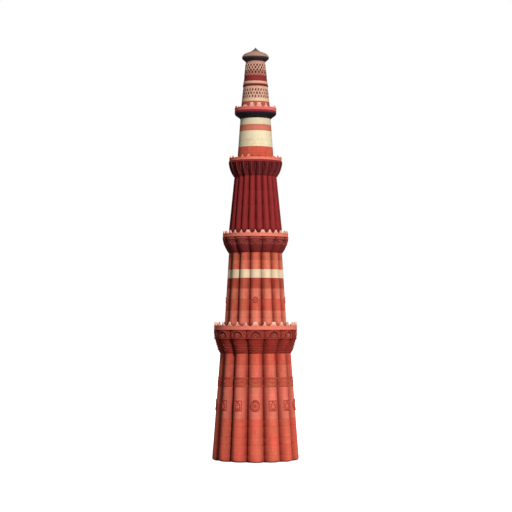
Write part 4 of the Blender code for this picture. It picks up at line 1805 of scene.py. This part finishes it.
@dataclass(frozen=True)
class Parapet:
    """A ring of merlons with hollow flanks on a balcony's rim.

    turn is in merlons, like that of flutes. forms numbers the merlons of each form from
    the front, and usual is the form of all others.
    """

    balcony: str
    radius: float
    thickness: float
    ring_height: float
    merlon_height: float
    merlons: int
    finish: Stone = COPING
    turn: float = 0.0
    usual: Merlon = Merlon.POINTED
    forms: dict[Merlon, tuple[int, ...]] = field(default_factory=dict)
    tip_colour: Colour = (0.95, 0.62, 0.48)
    pale_from: float = 0.12
    lip: float = 0.035
    edge: float = 0.012
    sides_each: int = 8
    oval_sides: int = 28

    @property
    def spacing(self) -> float:
        """Angle from one merlon to the next."""
        return 2 * math.pi / self.merlons

    @property
    def middle(self) -> float:
        """Radius of the ring's middle."""
        return self.radius - self.thickness / 2

    @property
    def ring_top(self) -> float:
        """Height at which the hollows between merlons end."""
        return node_top(self.balcony + "_floor") + self.ring_height

    @property
    def top(self) -> float:
        """Height of a whole merlon's tip."""
        return self.ring_top + self.merlon_height

    def form(self, number: int) -> tuple[float, float]:
        """Finds a merlon's form.

        Args:
            number: the merlon's, from the front.

        Returns:
            Its tip's half width and what is left of its height, as shares.
        """
        half = self.merlons // 2
        number = (number + half) % self.merlons - half
        own = [form for form, numbers in self.forms.items() if number in numbers]
        return (own or [self.usual])[0].value

    def profile(self) -> tuple[Course, ...]:
        """Lists the ring's section.

        Returns:
            Its courses, from the inner foot round the outer face.
        """
        base = node_foot(self.balcony + "_parapet")
        outer, inner, edge = self.radius, self.radius - self.thickness, self.edge
        return profile_of(
            (base, inner), (base, outer - edge), (base + edge, outer), (base + self.lip, outer),
            (base + self.lip + edge, outer - edge), (self.ring_top - self.lip, outer - edge),
            (self.ring_top - 0.7 * self.lip, outer - 0.3 * edge), (self.top - edge, outer - 2 * edge),
            (self.top, outer - 3 * edge), (self.top, inner + 2 * edge), (self.top - edge, inner + edge),
        )

    def hollows(self) -> Piece:
        """Draws the ovals between merlons.

        Returns:
            Their cutter, in edit mode.
        """
        cutter = Piece(self.balcony + "_hollows")
        place = (0, -self.middle, self.top + 0.015)
        for number in range(self.merlons):
            share = self.form(number)[0]
            reach = 1.0 - share - self.form(number + 1)[0]
            cutter.drum(self.oval_sides, 3 * self.thickness, place)
            cutter.swell(reach * self.spacing * self.radius / 2, 1, place[2] - self.ring_top, place)
            cutter.turn((number + self.turn + share + reach / 2) * self.spacing)
        return cutter

    def losses(self) -> Piece:
        """Draws what is broken off the tips.

        Returns:
            Its cutter, in edit mode.
        """
        cutter = Piece(self.balcony + "_losses")
        size = 0.4
        for number in range(self.merlons):
            share, left = self.form(number)
            if left == 1.0:
                continue
            bottom = self.ring_top + left * self.merlon_height
            place = (0, -self.middle, bottom + size / 2)
            bpy.ops.mesh.primitive_cube_add(size=size, location=place)
            cutter.swell(2 * self.radius * self.spacing * (share + 0.12) / size, 1, 1, place)
            cutter.turn((number + self.turn) * self.spacing)
        return cutter

    def build(self) -> None:
        """Makes the ring, and cuts its hollows and losses."""
        ring = Piece(self.balcony + "_merlons")
        ring.lathe(self.profile(), self.merlons * self.sides_each)
        ring.cut(self.hollows())
        ring.cut(self.losses())
        clean = self.finish.zones or (Zone(1.0, self.finish.colour),)
        body = clean[-1].tint
        half_pale = tuple((a + b) / 2 for a, b in zip(body, self.tip_colour))
        zones = (
            *clean[:-1], Zone(self.ring_top + self.pale_from * self.merlon_height, body),
            Zone(self.ring_top + 0.5 * self.merlon_height, half_pale), Zone(self.top, self.tip_colour),
        )
        stone = replace(self.finish, name=self.balcony + "_stone", zones=zones)
        ring.set_in_place(stone, [self.balcony + "_parapet"])


@dataclass(frozen=True)
class RoundStorey:
    """A round storey, whose rings of differing stone lie one over the other."""

    name: str
    wall: Batter
    bores: Batter
    base_stone: Stone
    trim: Stone
    door: Door
    joint_width: float = 0.022
    sides: int = 144

    def ring(self, name: str, low: float, high: float, joints: Sequence[float] = ()) -> Piece:
        """Draws one ring of the wall.

        Args:
            name: the ring's name.
            low: height of its foot.
            high: height of its head.
            joints: heights of its joints.

        Returns:
            The ring, in edit mode.
        """
        outer = battered(self.wall, low, high, joints, self.joint_width)
        inner = [Course(high, self.bores.crest(high)), Course(low, self.bores.crest(low))]
        piece = Piece(name)
        piece.lathe([*outer, *inner], self.sides)
        return piece

    def band(self, node: str, finish: Stone, joints: Sequence[float] = ()) -> None:
        """A ring in place of a node."""
        node = f"{self.name}_{node}"
        self.ring(node + "_ring", node_foot(node), node_top(node), joints).set_in_place(finish, [node])

    def build_base(self, high: float, joints: Sequence[float] = ()) -> None:
        """The ring that has the doorway, and the doorway's frame.

        Args:
            high: height of the ring's head.
            joints: heights of its joints.
        """
        base = self.ring(self.name + "_base_ring", self.wall.foot, high, joints)
        base.cut(self.door.cutter(self.name + "_doorway", self.wall))
        base.set_in_place(self.base_stone, [self.name + "_base", self.name + "_over_door"])
        bend = self.wall.crest(self.door.sill)
        self.door.frame(self.name + "_door_frame", self.wall, self.trim, bend)


class FourthStorey(RoundStorey):
    """The fourth storey: a red base, marble, a salmon band and marble again."""

    def build(self) -> None:
        """Makes it all."""
        self.build_base(node_foot(self.name + "_lower_marble"), (26.75,))
        self.band("lower_marble", DRUM_MARBLE, (27.913,))
        self.band("salmon_band", DRUM_SALMON)
        # the upper marble carries a painted shadow of balcony 4
        self.band("upper_marble", SHADED_MARBLE)


@dataclass(frozen=True)
class Lattice:
    """Rows of hollows round a band, each row half a place on from the last.

    tall lists half heights that the hollows take in turn. slant is how far they lean, in
    degrees, the other way in each next row. clear is what stays plain at the band's foot
    and at its top. net adds bars between them.
    """

    band: str
    rows: int
    around: int
    half_width: float
    tall: tuple[float, ...]
    slant: float
    clear: tuple[float, float]
    finish: Stone
    net: bool = False


@dataclass(frozen=True)
class FifthStorey(RoundStorey):
    """The fifth storey: a red base, bands, lattices and a proud roll."""

    lattices: tuple[Lattice, ...] = ()
    roll_bore: float = 0.7
    hollow_depth: float = 0.12
    bar_radius: float = 0.022

    def build(self) -> None:
        """Makes it all."""
        self.build_base(node_foot(self.name + "_marble_band"))
        self.band("marble_band", CREAM)
        self.band("red_band", LANTERN_CRIMSON)
        self.roll("roll", DARK_ROLL, 0.065)
        self.roll("pale_band", PALE_PINK, 0.045)
        for lattice in self.lattices:
            self.pierce(lattice)
            if lattice.net:
                self.net(lattice)

    def roll(self, node: str, finish: Stone, proud: float) -> None:
        """A rounded ring that stands out of the wall.

        Args:
            node: the solid that it stands for, without the storey's name.
            finish: its stone.
            proud: how far its middle stands out.
        """
        node = f"{self.name}_{node}"
        low, high = node_foot(node), node_top(node)
        middle, half = (low + high) / 2, (high - low) / 2
        crest = self.wall.crest(middle) - 0.01
        steps = 8
        angles = [math.pi * number / steps for number in range(steps + 1)]
        bulge = [Course(middle - half * math.cos(t), crest + proud * math.sin(t)) for t in angles]
        ring = Piece(node + "_ring")
        ring.lathe([*bulge, Course(high, self.roll_bore), Course(low, self.roll_bore)], self.sides)
        ring.set_in_place(finish, [node])

    def heights(self, lattice: Lattice) -> list[float]:
        """Lists the heights of a lattice's rows.

        Args:
            lattice: the lattice.

        Returns:
            Heights of their middles, from the bottom up.
        """
        node = f"{self.name}_{lattice.band}"
        low, high = node_foot(node) + lattice.clear[0], node_top(node) - lattice.clear[1]
        return [low + (row + 0.5) * (high - low) / lattice.rows for row in range(lattice.rows)]

    def pierce(self, lattice: Lattice) -> None:
        """Makes a lattice's band, with its rows of pointed hollows.

        Args:
            lattice: the lattice.
        """
        node = f"{self.name}_{lattice.band}"
        ring = self.ring(node + "_ring", node_foot(node), node_top(node))
        ring.mesh.materials.append(lattice.finish.material())
        cutter = Piece(node + "_hollows")
        for row, z in enumerate(self.heights(lattice)):
            place = (0, -self.wall.crest(z), z)
            for number in range(lattice.around):
                tall = lattice.tall[(3 * number + 2 * row) % len(lattice.tall)]
                cutter.drum(6, self.hollow_depth, place)
                cutter.swell(lattice.half_width, 1, tall, place)
                lean = math.radians(lattice.slant * (1 if row % 2 else -1))
                bpy.ops.transform.rotate(value=lean, orient_axis="Y", center_override=place)
                cutter.turn(2 * math.pi * (number + 0.5 * (row % 2)) / lattice.around)
        # the hollows' cut faces take the near-black finish: painted shade in the recesses
        cutter.mesh.materials.append(HOLLOW.material())
        ring.cut(cutter)
        ring.set_in_place(lattice.finish, [node])

    def net(self, lattice: Lattice) -> None:
        """Pale bars that cross between a lattice's hollows.

        Args:
            lattice: the lattice.
        """
        relief = Relief(f"{self.name}_{lattice.band}_net")
        heights = self.heights(lattice)
        pitch = heights[1] - heights[0]
        for row, z in enumerate([heights[0] - pitch, *heights]):
            half = math.pi * self.wall.crest(z) / lattice.around
            shift = half * (row % 2)
            for side in (1, -1):
                start = (shift, z - heights[0])
                relief.bar(start, (shift + side * half, start[1] + pitch), self.bar_radius)
        azimuths = Flutes(lattice.around, 1.0).azimuths()
        relief.dress(self.wall.crest(heights[0]), self.wall, heights[0], azimuths, STROKE)


@dataclass(frozen=True)
class Moulding:
    """A turned ring: its outer profile from the bottom up, and its inner radius."""

    name: str
    node: str
    profile: tuple[Course, ...]
    inner: float
    finish: Stone
    sides: int = 96

    def build(self) -> None:
        """Makes it."""
        outer = smoothed(self.profile)
        piece = Piece(self.name)
        inside = [Course(outer[-1].z, self.inner), Course(outer[0].z, self.inner)]
        piece.lathe([*outer, *inside], self.sides)
        piece.set_in_place(self.finish, [self.node])


@dataclass(frozen=True)
class Knob:
    """The pointed knob on the roof."""

    profile: tuple[Course, ...]
    sides: int = 48

    def build(self) -> None:
        """Makes it, closed at its foot and its tip."""
        piece = Piece("cap_knob")
        first, *others = smoothed(self.profile)
        piece.circle(self.sides, first.crest, (0, 0, first.z), filled=True)
        for before, after in zip((first, *others), others):
            piece.extrude(0, 0, after.z - before.z)
            grown = after.crest / before.crest
            piece.swell(grown, grown, 1, (0, 0, after.z))
        bpy.ops.mesh.merge(type="CENTER")
        piece.set_in_place(KNOB, ["finial"])


class Floors:
    """The floors, which stay as their solids."""

    def build(self) -> None:
        """Gives them a paved finish."""
        for name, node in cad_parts.items():
            if name.endswith("_floor"):
                node.material_slots[0].material = PAVING.material()


@dataclass(frozen=True)
class Studio:
    """Floor, lights and camera.

    eye is the camera's height, and pitch its upward tilt in degrees. shade is the share
    of white that the floor and the sky send back to the tower.
    """

    distance: float = 140.5
    eye: float = 11.745
    aside: float = 0.044
    pitch: float = 2.47
    lens: float = 112.5
    sensor: float = 36.0
    key_azimuth: float = 25.0
    key_height: float = 28.0
    key_strength: float = 3.0
    key_spread: float = 12.0
    key_colour: Colour = (1.0, 0.97, 0.93)
    sky_shade: float = 0.24
    floor_shade: float = 0.20
    floor_radius: float = 600.0
    floor_z: float = -0.002
    floor_glow: float = 0.9
    clip_end: float = 2000.0

    def build(self) -> None:
        """Makes them all."""
        scene = bpy.context.scene
        scene.view_settings.view_transform = "Standard"
        place = (self.aside, -self.distance, self.eye)
        bpy.ops.object.camera_add(location=place, rotation=(math.radians(90 + self.pitch), 0, 0))
        camera = bpy.context.object
        camera.name = "camera"
        camera.data.lens = self.lens
        camera.data.sensor_width = self.sensor
        camera.data.clip_end = self.clip_end
        scene.camera = camera
        self.floor()
        self.key()
        self.sky()

    def seen(self, sheet: NodeSheet, shade: float) -> Socket:
        """A value that is 1 for the camera, and shade for the light that reaches the tower."""
        ray = sheet.add("ShaderNodeLightPath").outputs["Is Camera Ray"]
        return sheet.reckon("MULTIPLY_ADD", ray, 1.0 - shade, shade)

    def floor(self) -> None:
        """A plain pale floor."""
        bpy.ops.mesh.primitive_circle_add(
            vertices=64, radius=self.floor_radius, fill_type="NGON", location=(0, 0, self.floor_z)
        )
        floor = bpy.context.object
        floor.name = "studio_floor"
        white = bpy.data.materials.new("studio_white")
        white.use_nodes = True
        sheet = NodeSheet(white.node_tree)
        shader = white.node_tree.nodes["Principled BSDF"]
        shade = self.seen(sheet, self.floor_shade)
        finish = {
            "Base Color": sheet.blend(shade, (0.0, 0.0, 0.0), (0.95, 0.95, 0.95)),
            "Roughness": 1.0,
            "Specular IOR Level": 0.0,
            "Emission Color": (1.0, 1.0, 1.0),
            "Emission Strength": sheet.times(self.seen(sheet, 0.0), self.floor_glow),
        }
        sheet.fill(shader, finish)
        floor.data.materials.append(white)

    def key(self) -> None:
        """A soft key light from the front right."""
        turned = (math.radians(90 - self.key_height), 0, math.radians(self.key_azimuth))
        bpy.ops.object.light_add(type="SUN", rotation=turned)
        light = bpy.context.object
        light.name = "key_light"
        light.data.energy = self.key_strength
        light.data.angle = math.radians(self.key_spread)
        light.data.color = self.key_colour

    def sky(self) -> None:
        """White all round: bright behind the tower, and dimmer where it lights it."""
        world = bpy.data.worlds.new("studio_sky")
        world.use_nodes = True
        bpy.context.scene.world = world
        sheet = NodeSheet(world.node_tree)
        background = world.node_tree.nodes["Background"]
        white = {"Color": (1.0, 1.0, 1.0), "Strength": self.seen(sheet, self.sky_shade)}
        sheet.fill(background, white)


PARTS = (
    FirstStorey(
        name="storey_1", flutes=FLUTED, wall=Batter(0.0, 9.30, 3.862, 3.15),
        bores=Batter(0.0, 9.30, 2.15, 1.80), stone=STOREY_1_STONE, trim=CARVED_SALMON,
        joints=(0.642, 1.459, 2.091, 3.036, 3.637, 6.41, 7.26, 8.325),
        foot=((0.0, 0.24), (0.03, 0.15), (0.07, 0.09), (0.13, 0.03), (0.20, 0.0)),
        door=Door(0.0, 2.15, width=0.66, spring=0.95, rise=0.36, thick=0.04, step=False, sunk=0.03),
    ),
    FirstCorbel(
        name="corbel_1", flutes=FLUTED,
        cup=profile_of(
            (9.3003, 3.18, 0.87), (9.60, 3.32, 0.87), (9.90, 3.41, 0.88), (10.25, 3.51, 0.90),
            (10.54, 3.60, 0.92),
        ),
        frieze=profile_of((10.5403, 3.67, 0.95), (11.34, 3.69, 0.96)), bore=1.80, stone=DARK_RED,
        lip=0.03,
    ),
    Parapet(
        balcony="balcony_1", radius=3.64, thickness=0.15, ring_height=0.15, merlon_height=0.37,
        merlons=28,
        forms={Merlon.WIDE: (0, 2), Merlon.THIN: (-1,), Merlon.BLUNT: (3, 5), Merlon.STUB: (9,)},
    ),
    SecondStorey(
        name="storey_2", flutes=FLUTED, wall=Batter(11.50, 18.05, 2.77, 2.375),
        bores=Batter(11.50, 18.05, 1.55, 1.38), stone=STOREY_2_STONE, trim=CARVED_SALMON,
        joints=(12.35, 13.00, 13.98, 14.88, 17.39), door=Door(sill=11.50, bore=1.55), rosette_z=13.92,
        rosette_half=0.20,
    ),
    SecondCorbel(
        name="corbel_2", flutes=FLUTED,
        cup=profile_of(
            (18.0503, 2.41, 0.87), (18.28, 2.57, 0.88), (18.64, 2.75, 0.90), (19.12, 2.89, 0.92)
        ),
        frieze=profile_of((19.1203, 2.92, 0.95), (19.42, 2.94, 0.96)), bore=1.38, stone=CORBEL_2_STONE,
        lip=0.02,
    ),
    Parapet(
        balcony="balcony_2", radius=2.88, thickness=0.14, ring_height=0.12, merlon_height=0.28,
        merlons=28, usual=Merlon.BLUNT, forms={Merlon.WIDE: (-1, 1), Merlon.POINTED: (0, -2, -3)},
    ),
    FlutedStorey(
        name="storey_3", flutes=RIBBED, wall=Batter(19.58, 24.78, 2.40, 1.87),
        bores=Batter(19.58, 24.78, 1.28, 1.10), stone=CRIMSON, trim=PLAIN_CRIMSON,
        joints=(20.9, 22.2, 23.5), joint_width=0.012, door=Door(sill=19.58, bore=1.28, sunk=0.04),
    ),
    RibbedCorbel(
        name="corbel_3", flutes=RIBBED,
        cup=profile_of(
            (24.7803, 1.90, 0.90), (25.04, 2.06, 0.91), (25.39, 2.22, 0.92), (25.80, 2.33, 0.94),
            (26.11, 2.355, 0.96),
        ),
        bore=1.10,
    ),
    Parapet(
        balcony="balcony_3", radius=2.32, thickness=0.13, ring_height=0.07, merlon_height=0.23,
        merlons=24, forms={Merlon.WORN: (0, 1, 2, -3), Merlon.STUB: (3, 5), Merlon.BLUNT: (-1,)},
        tip_colour=(0.90, 0.38, 0.28),
    ),
    FourthStorey(
        name="storey_4", wall=Batter(26.27, 29.88, 1.60, 1.335), bores=Batter(26.27, 29.88, 0.98, 0.85),
        base_stone=DRUM_RED, trim=PLAIN_RED, door=Door(sill=26.27, bore=0.98),
    ),
    Moulding(
        name="corbel_4_quarter_round", node="corbel_4_moulding",
        profile=profile_of((29.8803, 1.37), (29.98, 1.45), (30.14, 1.68), (30.25, 1.80), (30.36, 1.84)),
        inner=0.85, finish=SLATE, sides=128,
    ),
    Parapet(
        balcony="balcony_4", radius=1.845, thickness=0.12, ring_height=0.27, merlon_height=0.37,
        merlons=18, turn=0.5,
        finish=replace(
            COPING, slot="red_parapet",
            zones=(Zone(30.43, (0.29, 0.028, 0.045)), Zone(31.0, (0.86, 0.18, 0.15))),
        ),
        usual=Merlon.WORN,
        forms={
            Merlon.WIDE: (-1, 0), Merlon.POINTED: (1,), Merlon.STUB: (3, -2, -4), Merlon.BLUNT: (6, -7),
        },
        tip_colour=(0.94, 0.62, 0.54), pale_from=0.0,
    ),
    FifthStorey(
        name="storey_5", wall=Batter(30.52, 34.96, 1.31, 0.85), bores=Batter(30.52, 34.96, 0.80, 0.55),
        base_stone=LANTERN_BASE, trim=PLAIN_RED, door=Door(sill=30.52, bore=0.80, thick=0.03),
        sides=120,
        lattices=(
            Lattice(
                band="lower_lattice", rows=3, around=28, half_width=0.066,
                tall=(0.15, 0.12, 0.155, 0.10, 0.14), slant=20.0, clear=(0.03, 0.20), finish=LATTICE,
            ),
            Lattice(
                band="upper_lattice", rows=4, around=20, half_width=0.084, tall=(0.118, 0.100),
                slant=0.0, clear=(0.14, 0.28), finish=UPPER_LATTICE, net=True,
            ),
        ),
    ),
    Moulding(
        name="cap_dark_eave", node="cap_eave",
        profile=profile_of((34.9603, 0.87), (35.09, 1.03), (35.17, 1.13), (35.24, 1.18), (35.28, 1.185)),
        inner=0.3, finish=EAVE_SLATE,
    ),
    Moulding(
        name="cap_tiled_roof", node="cap_roof",
        profile=profile_of(
            (35.2803, 1.185), (35.38, 1.18), (35.48, 1.14), (35.65, 0.98), (35.76, 0.74), (35.87, 0.46)
        ),
        inner=0.2, finish=ROOF,
    ),
    Knob(profile_of((35.8703, 0.42), (35.95, 0.33), (36.05, 0.19), (36.16, 0.08), (36.25, 0.01))),
    Floors(),
    Studio(),
)


def main() -> None:
    """Builds the minaret from the ground up, and then its studio."""
    logging.basicConfig(level=logging.INFO, format="%(message)s")
    for part in PARTS:
        part.build()


if __name__ == "__main__":
    main()
